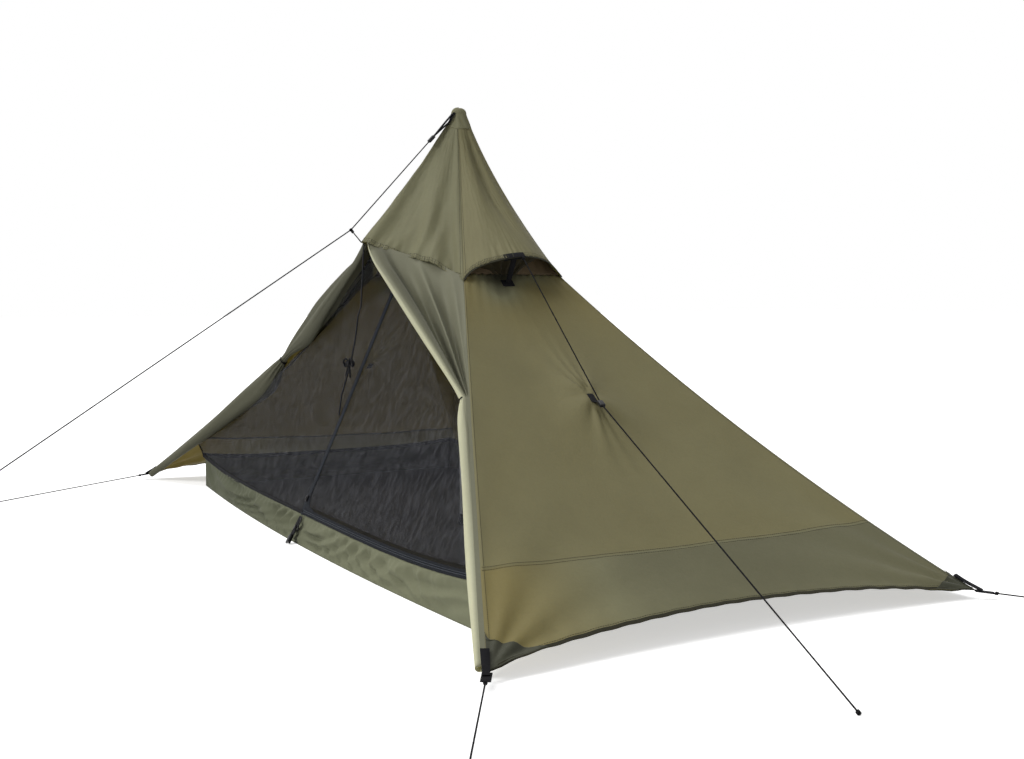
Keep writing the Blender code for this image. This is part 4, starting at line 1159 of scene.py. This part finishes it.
def make_tub():
    """The tub's four walls and its floor."""
    columns = {"front": 600, "right": 240, "back": 320, "left": 240}
    for face, (size, share) in TUB_CUTS.items():
        side = 1 if face in ("front", "right") else -1

        def place(s, t, face=face, side=side):
            return wall_point(face, side * s, t)

        sheet("tub_wall_" + face, place, columns[face], 18, [TUB, TUB], ["wall_" + face], size,
              painted_light_and_shade=tub_painted_shade, thickness=WALL_CLOTH, share=share)
    size, share = FLOOR_CUT
    sheet("tub_floor", floor_point, 90, 40, [TUB_FLOOR, TUB_FLOOR], ["floor"], size,
          thickness=FLOOR_CLOTH, share=share)


def make_netting():
    """The netting's five cloths, with the front one parted by the zip."""
    edge = ZIP_WIDTH / 2 + ZIP_CLEAR
    sheets = {
        "mesh_front": ("front", {"right": -edge}, NETTING_FRONT_CUT),
        "mesh_door": ("front", {"left": edge, "low": ZIP_WIDTH}, NETTING_DOOR_CUT),
        "mesh_right": ("right", {}, NETTING_END_CUT),
        "mesh_back": ("back", {}, NETTING_BACK_CUT),
        "mesh_left": ("left", {}, NETTING_END_CUT),
    }
    for node, (face, edges, (size, share)) in sheets.items():
        side = 1 if face in ("front", "right") else -1

        def place(s, t, face=face, edges=edges, side=side):
            return draped(face, side * s, t, **edges)

        sheet("net_" + node[5:], place, 110, 50, [NETTING, NETTING], [node], size,
              share=share, thickness=NET_CLOTH)


def make_zips():
    """The tapes with their teeth, and the seams round the netting."""
    upright = [netting_point("front", 1, k / 60, right=0.0) for k in range(61)]
    band("zip_up", [p + DOOR_OUT * ZIP_LIFT for p in upright], ALONG_X, ZIP_WIDTH, ZIP_THICKNESS, TAPE,
         ["zip_tape_up"])
    rim = [netting_point("front", k / 60, 0, left=0.012, low=RIM_ZIP_WIDTH / 2) + DOOR_OUT * ZIP_LIFT
           for k in range(-60, 61)]
    band("zip_rim", rim, DOOR_SLOPE, RIM_ZIP_WIDTH, ZIP_THICKNESS, TAPE, ["zip_tape_rim"])
    bend = [netting_point("front", 1, t, right=x) + DOOR_OUT * 0.0012 for x, t in ZIP_BEND]
    slanting = DOOR_SLOPE.cross(DOOR_OUT) * 0.5 + DOOR_SLOPE
    band("zip_bend", smooth_route(bend, 40), slanting, 0.020, ZIP_THICKNESS, TAPE)

    over = [mix(-1, 1, k / 80) for k in range(81)]
    seams = [[netting_point(face, s, 0.004) for s in over] for face in ("left", "back", "right")]
    seams.append([netting_point("front", s, 0.003, right=0.0) for s in over])
    edges = [band_mesh("rim_seam", line, [ALONG_Z] * 81, 0.015, 0.0016) for line in seams]
    corner = [netting_point("front", -1, (k / 60) ** 1.6) for k in range(61)]
    edges.append(tube_mesh("edge", corner, 0.0024, sides=8))
    piece("netting_edges", joined("netting_edges", edges), [WEBBING])

    lift = DOOR_OUT * TOOTH_LIFT
    lines = [[p + lift + ALONG_X * step for p in upright[:52]] for step in TOOTH_ROWS]
    repeated("zip_teeth", lines, TOOTH_STEP, TOOTH_LENGTH, 0.0008, TEETH)
    lines = [[p + lift + Vector((0, 0.41, 0.91)) * step for p in rim] for step in TOOTH_ROWS]
    repeated("zip_rim_teeth", lines, TOOTH_STEP, TOOTH_LENGTH, 0.0011, TEETH)


def make_slider():
    """The zip's slider, with the bridge that its pull hangs on."""
    up = DOOR_SLOPE.normalized()
    seat = Vector((0, mesh_front(mesh_share(SLIDER_HEIGHT)), SLIDER_HEIGHT)) + DOOR_OUT * SLIDER_LIFT
    body = rounded_block("body", SLIDER_SIZE, frame_at(seat, up, DOOR_OUT), 0.0012)
    arch = ((0.006, 0), (0.004, 0.0032), (-0.004, 0.0032), (-0.006, 0))
    route = smooth_route([seat + up * along + DOOR_OUT * rise for along, rise in arch], 12)
    bridge = tube_mesh("bridge", route, 0.0010, sides=8)
    mesh = joined("zip_slider_body", [body, bridge])
    piece("zip_slider_body", mesh, [PLASTIC], ["zip_slider"], body="zip_slider")


def make_crown():
    """The flat ring at the netting's top, round inside and nearly square outside."""
    ring = Vector((0, 0, MESH_TOP + 0.0015))
    crown = bmesh.new()
    inner, outer = [], []
    for k in range(32):
        way = on_ring(Vector(), ALONG_X, ALONG_Y, 1, 2 * math.pi * k / 32)
        reach = CROWN_HALF / max(abs(way.x), abs(way.y)) ** 0.8
        inner.append([crown.verts.new(ring + way * CROWN_HOLE + ALONG_Z * h) for h in (0, CROWN_THICKNESS)])
        outer.append([crown.verts.new(ring + way * reach + ALONG_Z * h) for h in (0, CROWN_THICKNESS)])
    for k in range(32):
        j = (k + 1) % 32
        crown.faces.new((inner[k][1], outer[k][1], outer[j][1], inner[j][1]))
        crown.faces.new((inner[k][0], inner[j][0], outer[j][0], outer[k][0]))
        crown.faces.new((outer[k][0], outer[j][0], outer[j][1], outer[k][1]))
        crown.faces.new((inner[k][0], inner[k][1], inner[j][1], inner[j][0]))
    bmesh.ops.recalc_face_normals(crown, faces=crown.faces)
    piece("crown_ring", mesh_of("crown_ring", crown, smooth=False), [WEBBING], ["crown_patch"])


# Webbing, locks and the pole


def softened(name, node, material, bevel, body="tent"):
    """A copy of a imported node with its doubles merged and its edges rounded."""
    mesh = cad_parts[node].data.copy()
    mesh.materials.clear()
    bm = bmesh.new()
    bm.from_mesh(mesh)
    bmesh.ops.remove_doubles(bm, verts=bm.verts, dist=1e-6)
    bmesh.ops.dissolve_limit(bm, angle_limit=math.radians(2), verts=bm.verts, edges=bm.edges)
    sharp = [e for e in bm.edges if len(e.link_faces) == 2 and e.calc_face_angle(0) > math.radians(35)]
    if bevel and sharp:
        bmesh.ops.bevel(bm, geom=sharp, offset=bevel, segments=2, profile=0.5, affect="EDGES",
                        clamp_overlap=True)
    uv = bm.loops.layers.uv.new("UVMap")
    for face in bm.faces:
        for loop in face.loops:
            loop[uv].uv = (loop.vert.co.x + loop.vert.co.y * 0.5, loop.vert.co.z + loop.vert.co.y * 0.5)
    bm.to_mesh(mesh)
    bm.free()
    mesh.name = name
    mesh.shade_smooth()
    mesh.set_sharp_from_angle(angle=math.radians(40))
    piece(name, mesh, [material], [node], body)


def make_webbing():
    """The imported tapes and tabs, and the two vent struts."""
    webs = ("apex_webbing", "corner_tab_back", "corner_tab_left", "corner_tab_near", "corner_tab_right",
            "side_tab_left", "side_tab_right", "vent_base_left", "vent_base_right", "vent_tab_left",
            "vent_tab_right", "door_strap", "door_bow", "rim_strap")
    for node in webs:
        softened(node + "_web", node, WEBBING, bevel=0.0004)
    for side in ("left", "right"):
        node = "vent_strut_" + side
        softened("strut_" + side, node, WEBBING, body=node, bevel=0.0008)


def make_strap_end():
    """The block, the buckle and the tail on the strap at the door's foot."""
    down = Vector((0.33, -0.54, -0.74))
    end_place = frame_at(Vector((0.0255, -0.5560, 0.0150)), down, ALONG_Y)
    buckle_place = frame_at(Vector((0.0125, -0.5335, 0.0425)), down, ALONG_Y)
    end = rounded_block("end", (0.026, 0.025, 0.007), end_place, 0.0025)
    buckle = rounded_block("buckle", (0.012, 0.015, 0.006), buckle_place, 0.0015)
    loose = ((0.014, -0.514, 0.070), (0.024, -0.522, 0.058), (0.022, -0.527, 0.047), (0.030, -0.532, 0.036))
    tail = tube_mesh("tail", smooth_route(loose, 16), 0.0022)
    piece("rim_strap_end", joined("rim_strap_end", [end, buckle, tail]), [PLASTIC])


def make_bow():
    """Two loops and two tails of cord, and the knot between them, on the door's strap."""
    middle = Vector((0, -0.361, 0.501))
    left_loop = ((0, 0, 0), (-0.016, -0.004, 0.012), (-0.034, -0.004, 0.004), (-0.030, -0.002, -0.010),
                 (-0.010, 0, -0.006), (0, 0, 0))
    right_loop = ((0, 0, 0), (0.014, -0.004, 0.014), (0.032, -0.004, 0.010), (0.034, -0.002, -0.006),
                  (0.012, 0, -0.006), (0, 0, 0))
    left_tail = ((0, 0, 0), (-0.010, -0.002, -0.020), (-0.022, -0.002, -0.036))
    right_tail = ((0, 0, 0), (0.008, -0.002, -0.018), (0.012, -0.002, -0.040))
    parts = []
    for points in (left_loop, right_loop, left_tail, right_tail):
        route = smooth_route([middle + Vector(q) for q in points], 8 * len(points))
        parts.append(tube_mesh("cord", route, 0.0026, sides=8))
    parts.append(rounded_block("knot", (0.013, 0.010, 0.011), Matrix.Translation(middle), 0.003))
    piece("door_bow_loops", joined("door_bow_loops", parts), [BRAID])


def make_locks_and_pole():
    softened("apex_lock", "apex_cord_lock", PLASTIC, bevel=0)
    softened("side_lock", "side_cord_lock", PLASTIC, bevel=0)
    softened("pole_bung", "pole_tip", PLASTIC, bevel=0.0005)
    softened("pole_ring", "pole_collar", PLASTIC, body="pole_collar", bevel=0.0005)
    softened("pole_shoe", "pole_foot", RUBBER, body="pole_lower", bevel=0.0012)
    for node in ("pole_upper", "pole_lower"):
        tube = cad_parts[node].data
        tube.materials.clear()
        tube.materials.append(METAL)


# Seams, vents and corners


def skirt_line(shift=0.0):
    """Spots along the skirt seam of a side panel."""
    line = []
    for k in SEAM_STEPS:
        s = mix(-0.99, 0.99, k)
        cut = 1 - SIDE_HEM_CUT * (1 - s * s)
        line.append((s, (cut - SKIRT_SEAM + shift) / (cut - PANEL_START)))
    return line


def stitch_lines(panels, caps):
    """Rows of stitches along the hems, beside the ridges and the skirt seams, and round each cap."""
    lines = []
    for face, place in panels.items():
        rows = [[((2 * k - 1) * 0.995, up / PANEL_LENGTH) for k in SEAM_STEPS] for up in (0.008, 0.014)]
        rows += [[(s, mix(0.01, 0.995, k)) for k in SEAM_STEPS] for s in (-0.985, 0.985)]
        if face != "back":
            rows += [skirt_line(shift) for shift in (-0.0035, 0.0035)]
        lines += [surface_line(place, row, STITCH_LIFT) for row in rows]
    for place in caps.values():
        rows = [[(mix(-0.98, 0.98, k), up) for k in SEAM_STEPS] for up in (0.012, 0.026)]
        rows += [[(s, mix(0.02, 0.9, k)) for k in SEAM_STEPS] for s in (-0.97, 0.97)]
        lines += [surface_line(place, row, STITCH_LIFT) for row in rows]
    return lines


def gather_lines(caps):
    """Short upright puckers along each cap's foot, unevenly spaced."""
    lines = []
    for face in ("front", "back", "right", "left"):
        ends, count = ((-0.97, 0.97), 72) if face in ("front", "back") else ((-0.93, -0.15), 34)
        for k in range(count):
            s = mix(*ends, (k + 0.5 + 0.3 * ripple(1.7 * k, seed=4)) / count)
            low = 0.004 + 0.004 * ripple(2.3 * k, seed=8)
            lines.append(surface_line(caps[face], [(s, low + 0.0022 * j) for j in range(9)], 0.0003))
    return lines


def hem_bands(panels):
    """The binding on each hem, and the felled seam inside each side panel's skirt."""
    bands = []
    for place in panels.values():
        over = [2 * k - 1 for k in SEAM_STEPS]
        ways = [place(s, 0.02) - place(s, 0.0) for s in over]
        bands.append(band_mesh("hem", [place(s, 0.0035) for s in over], ways, 0.010, 0.0022))
    for face in ("right", "left"):
        place, spots = panels[face], skirt_line()
        ways = [place(s, t + 0.02) - place(s, t) for s, t in spots]
        bands.append(band_mesh("felled_seam", surface_line(place, spots, -0.0022), ways, 0.009, 0.0012))
    return bands


def brim_bands():
    """The binding on the brim of each hood."""
    over = [mix(-0.99, 0.99, k) for k in SEAM_STEPS]
    bands = []
    for face in ("right", "left"):
        route = [cap_point(face, s, 1) + corner_reach(face, s, 1) for s in over]
        ways = [cap_point(face, s, 1) - cap_point(face, s, 0.97) for s in over]
        bands.append(band_mesh("brim", route, ways, 0.007, 0.0026))
    return bands


def make_seams():
    """The fly's stitches, gathers and bindings."""
    panels = {face: panel_surface(face) for face in PANEL_CUTS}
    caps = {face: cap_surface(face) for face in CAP_CUTS}
    stitches = stitch_lines(panels, caps)
    repeated("seam_stitches", stitches, STITCH_STEP, STITCH_LENGTH, STITCH_RADIUS, THREAD)
    piece("hem_bindings", joined("hem_bindings", hem_bands(panels)), [BINDING])
    gathers = gather_lines(caps)
    repeated("seam_gathers", gathers, GATHER_STEP, GATHER_LENGTH, GATHER_RADIUS, THREAD)
    piece("brim_bindings", joined("brim_bindings", brim_bands()), [BINDING])


def make_vent_cloths():
    """Each vent's wall, and the cloth before it that fans up from the strut's foot to the brim, near black as
    painted shade under the hood.
    """
    for side, turn, way in (("right", Vector, 1), ("left", mirrored, -1)):

        def fan(s, t, turn=turn, way=way):
            share = (way * s + 1) / 2
            foot = panel_point("right", mix(-0.42, 0.06, share), 0.006) + ALONG_Z * 0.0015
            brim = cap_point("right", mix(-0.93, 0.42, share), 0.975) - Vector((0.004, 0, 0.001))
            ridge = 0.0055 * math.sin(11 * math.pi * share + 1.0) * math.sin(math.pi * min(0.15 + 0.8 * t, 1))
            return turn(foot.lerp(brim, t) + Vector((ridge - 0.012 * math.sin(math.pi * t), 0, 0.3 * ridge)))

        def wall(s, t, turn=turn, way=way):
            lower = panel_point("right", 0.995 * way * s, 0.0035) + ALONG_Z * 0.0004
            upper = cap_point("right", 0.95 * way * s, 0.86) - ALONG_X * 0.020
            slack = 0.004 * ripple(9 * s, 3 * t, seed=2) * math.sin(math.pi * t)
            return turn(lower.lerp(upper, t) + ALONG_X * slack)

        size, share = VENT_WALL_CUT
        sheet("vent_wall_" + side, wall, 60, 12, [VENT_LINING, VENT_LINING], ["vent_mesh_" + side], size,
              share=share)
        size, share = VENT_CLOTH_CUT
        sheet("vent_cloth_" + side, fan, 80, 20, [VENT_SHADE_NYLON, VENT_SHADE_NYLON], [], size,
              share=share)


def make_corner_patches():
    """Dark reinforcing triangles on the panels at the four corners, by the share of the panel they reach."""
    spots = (("near_side", "right", -1, 0.052), ("near_back", "right", 1, 0.040),
             ("left_side", "left", -1, 0.030), ("left_back", "left", 1, 0.030),
             ("far_right", "back", 1, 0.018), ("far_left", "back", -1, 0.018))
    for name, face, end, reach in spots:
        surface = panel_surface(face)
        side = end * (-1 if face in ("back", "left") else 1)

        def place(s, t, surface=surface, side=side, reach=reach):
            share = (1 - side * s) / 2
            over = side * (1 - share * (1 - t) * reach * 4)
            up = 0.0008 + t * reach * 1.5 * (1 - 0.2 * share)
            return off_surface(surface, over * 0.9995, up, 0.0016, step=0.003)

        piece("patch_" + name, grid_mesh("patch_" + name, place, 24, 20, 0.0008), [PATCH, PATCH])


def make_corner_loops():
    """The webbing from each corner of the fly to its tab."""
    tabs = (("near", 1, -1, (1.398, -0.645, 0.0200)), ("left", -1, -1, (-1.370, -0.652, 0.0200)),
            ("right", 1, 1, (1.392, 0.648, 0.0190)), ("back", -1, 1, (-1.392, 0.648, 0.0190)))
    for name, way_x, way_y, tab in tabs:
        lift = Vector((0.0015 * way_x, 0.003 * way_y, 0.0045))
        ridge = [ridge_point(v) for v in (0.958, 0.98)]
        route = [Vector((q.x * way_x, -q.y * way_y, q.z)) + lift for q in ridge]
        route.append(Vector(tab) + ALONG_Z * 0.001)
        band("corner_loop_" + name, smooth_route(route, 16), Vector((way_x * 0.4, -way_y, 0)), 0.018, 0.0035,
             WEBBING, end_width=0.015)


# The guys


def knotted_cord(node, points, knots, far_end, pieces=40):
    """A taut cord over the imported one's route, with a small overhand knot at each place in knots."""
    points = [Vector(p) for p in points]
    route = [points[0]]
    for a, b in zip(points, points[1:]):
        route += [a.lerp(b, k / pieces) for k in range(1, pieces + 1)]
    rope = piece(node + "_rope", tube_mesh(node + "_rope", route, CORD * 0.85), [BRAID], [node])
    loops = []
    last = len(points) - 1
    for k in knots:
        along = (points[min(k + 1, last)] - points[max(k - 1, 0)]).normalized()
        side = along.orthogonal().normalized()
        other = along.cross(side)
        start = points[k] + along * (KNOT_OFF if k == 0 else -KNOT_OFF if k == last else 0)
        turns = []
        for i in range(37):
            centre = start + along * mix(-KNOT_HALF, KNOT_HALF, i / 36)
            turns.append(on_ring(centre, side, other, KNOT_RADIUS, math.radians(30 * i)))
        loops.append(tube_mesh("turns", turns, KNOT_CORD, sides=6))
    extra = [piece(node + "_knots", joined(node + "_knots", loops), [BRAID])]
    [tuple(p) for p in route]


# Light, floor and camera


def seen_share(tree):
    """1 for what the camera sees, straight or in a shine, and 0 for what lights the tent."""
    path = add(tree, "LightPath").outputs
    shone = sums(tree, "MAXIMUM", path["Is Camera Ray"], path["Is Glossy Ray"])
    return sums(tree, "MAXIMUM", shone, path["Is Transmission Ray"])


def placed(name, data):
    made = bpy.data.objects.new(name, data)
    bpy.context.scene.collection.objects.link(made)
    return made


def make_floor():
    look, tree, output = new_material("studio_floor")
    plain = add(tree, "BsdfDiffuse", Color=(0.90, 0.90, 0.90))
    glow = sums(tree, "MULTIPLY", seen_share(tree), FLOOR_GLOW)
    bright = add(tree, "Emission", Color=(1, 1, 1), Strength=glow)
    both = add(tree, "AddShader", i0=plain.outputs[0], i1=bright.outputs[0])
    tree.links.new(both.outputs[0], output.inputs[0])
    mesh = bpy.data.meshes.new("studio_floor")
    mesh.from_pydata([(-30, -30, 0), (30, -30, 0), (30, 30, 0), (-30, 30, 0)], [], [(0, 1, 2, 3)])
    mesh.materials.append(look)
    floor = placed("studio_floor", mesh)
    floor.location.z = -0.0005


def make_light():
    """A white world, a broad lamp before the door, and a broader one overhead."""
    world = bpy.data.worlds.new("studio")
    bpy.context.scene.world = world
    world.use_nodes = True
    tree = world.node_tree
    tree.nodes.clear()
    white = sums(tree, "MULTIPLY", seen_share(tree), 1 - WORLD_LIGHT)
    sky = add(tree, "Background", Color=(1, 1, 1), Strength=sums(tree, "ADD", WORLD_LIGHT, white))
    tree.links.new(sky.outputs[0], add(tree, "OutputWorld").inputs[0])
    for name, (energy, spread, way) in LAMPS.items():
        lamp = bpy.data.lights.new(name, "SUN")
        lamp.energy, lamp.angle = energy, math.radians(spread)
        placed(name, lamp).rotation_euler = Vector(way).to_track_quat("Z", "Y").to_euler()


def make_camera():
    camera = bpy.data.cameras.new("camera")
    camera.lens, camera.sensor_width = CAMERA_LENS, 36.0
    view = placed("camera", camera)
    view.location = CAMERA_PLACE
    view.rotation_euler = (math.radians(90 - CAMERA_DOWN), 0, math.radians(CAMERA_TURN))
    bpy.context.scene.camera = view
    bpy.context.scene.view_settings.view_transform = "Standard"


make_floor()
make_light()
make_camera()
make_fly()
make_apex_patch()
make_flaps()
make_tiebacks()
make_tub()
make_netting()
make_zips()
make_slider()
make_crown()
make_webbing()
make_strap_end()
make_bow()
make_locks_and_pole()
make_seams()
make_vent_cloths()
make_corner_patches()
make_corner_loops()
for cord in CORD_ROUTES:
    knotted_cord(*cord)
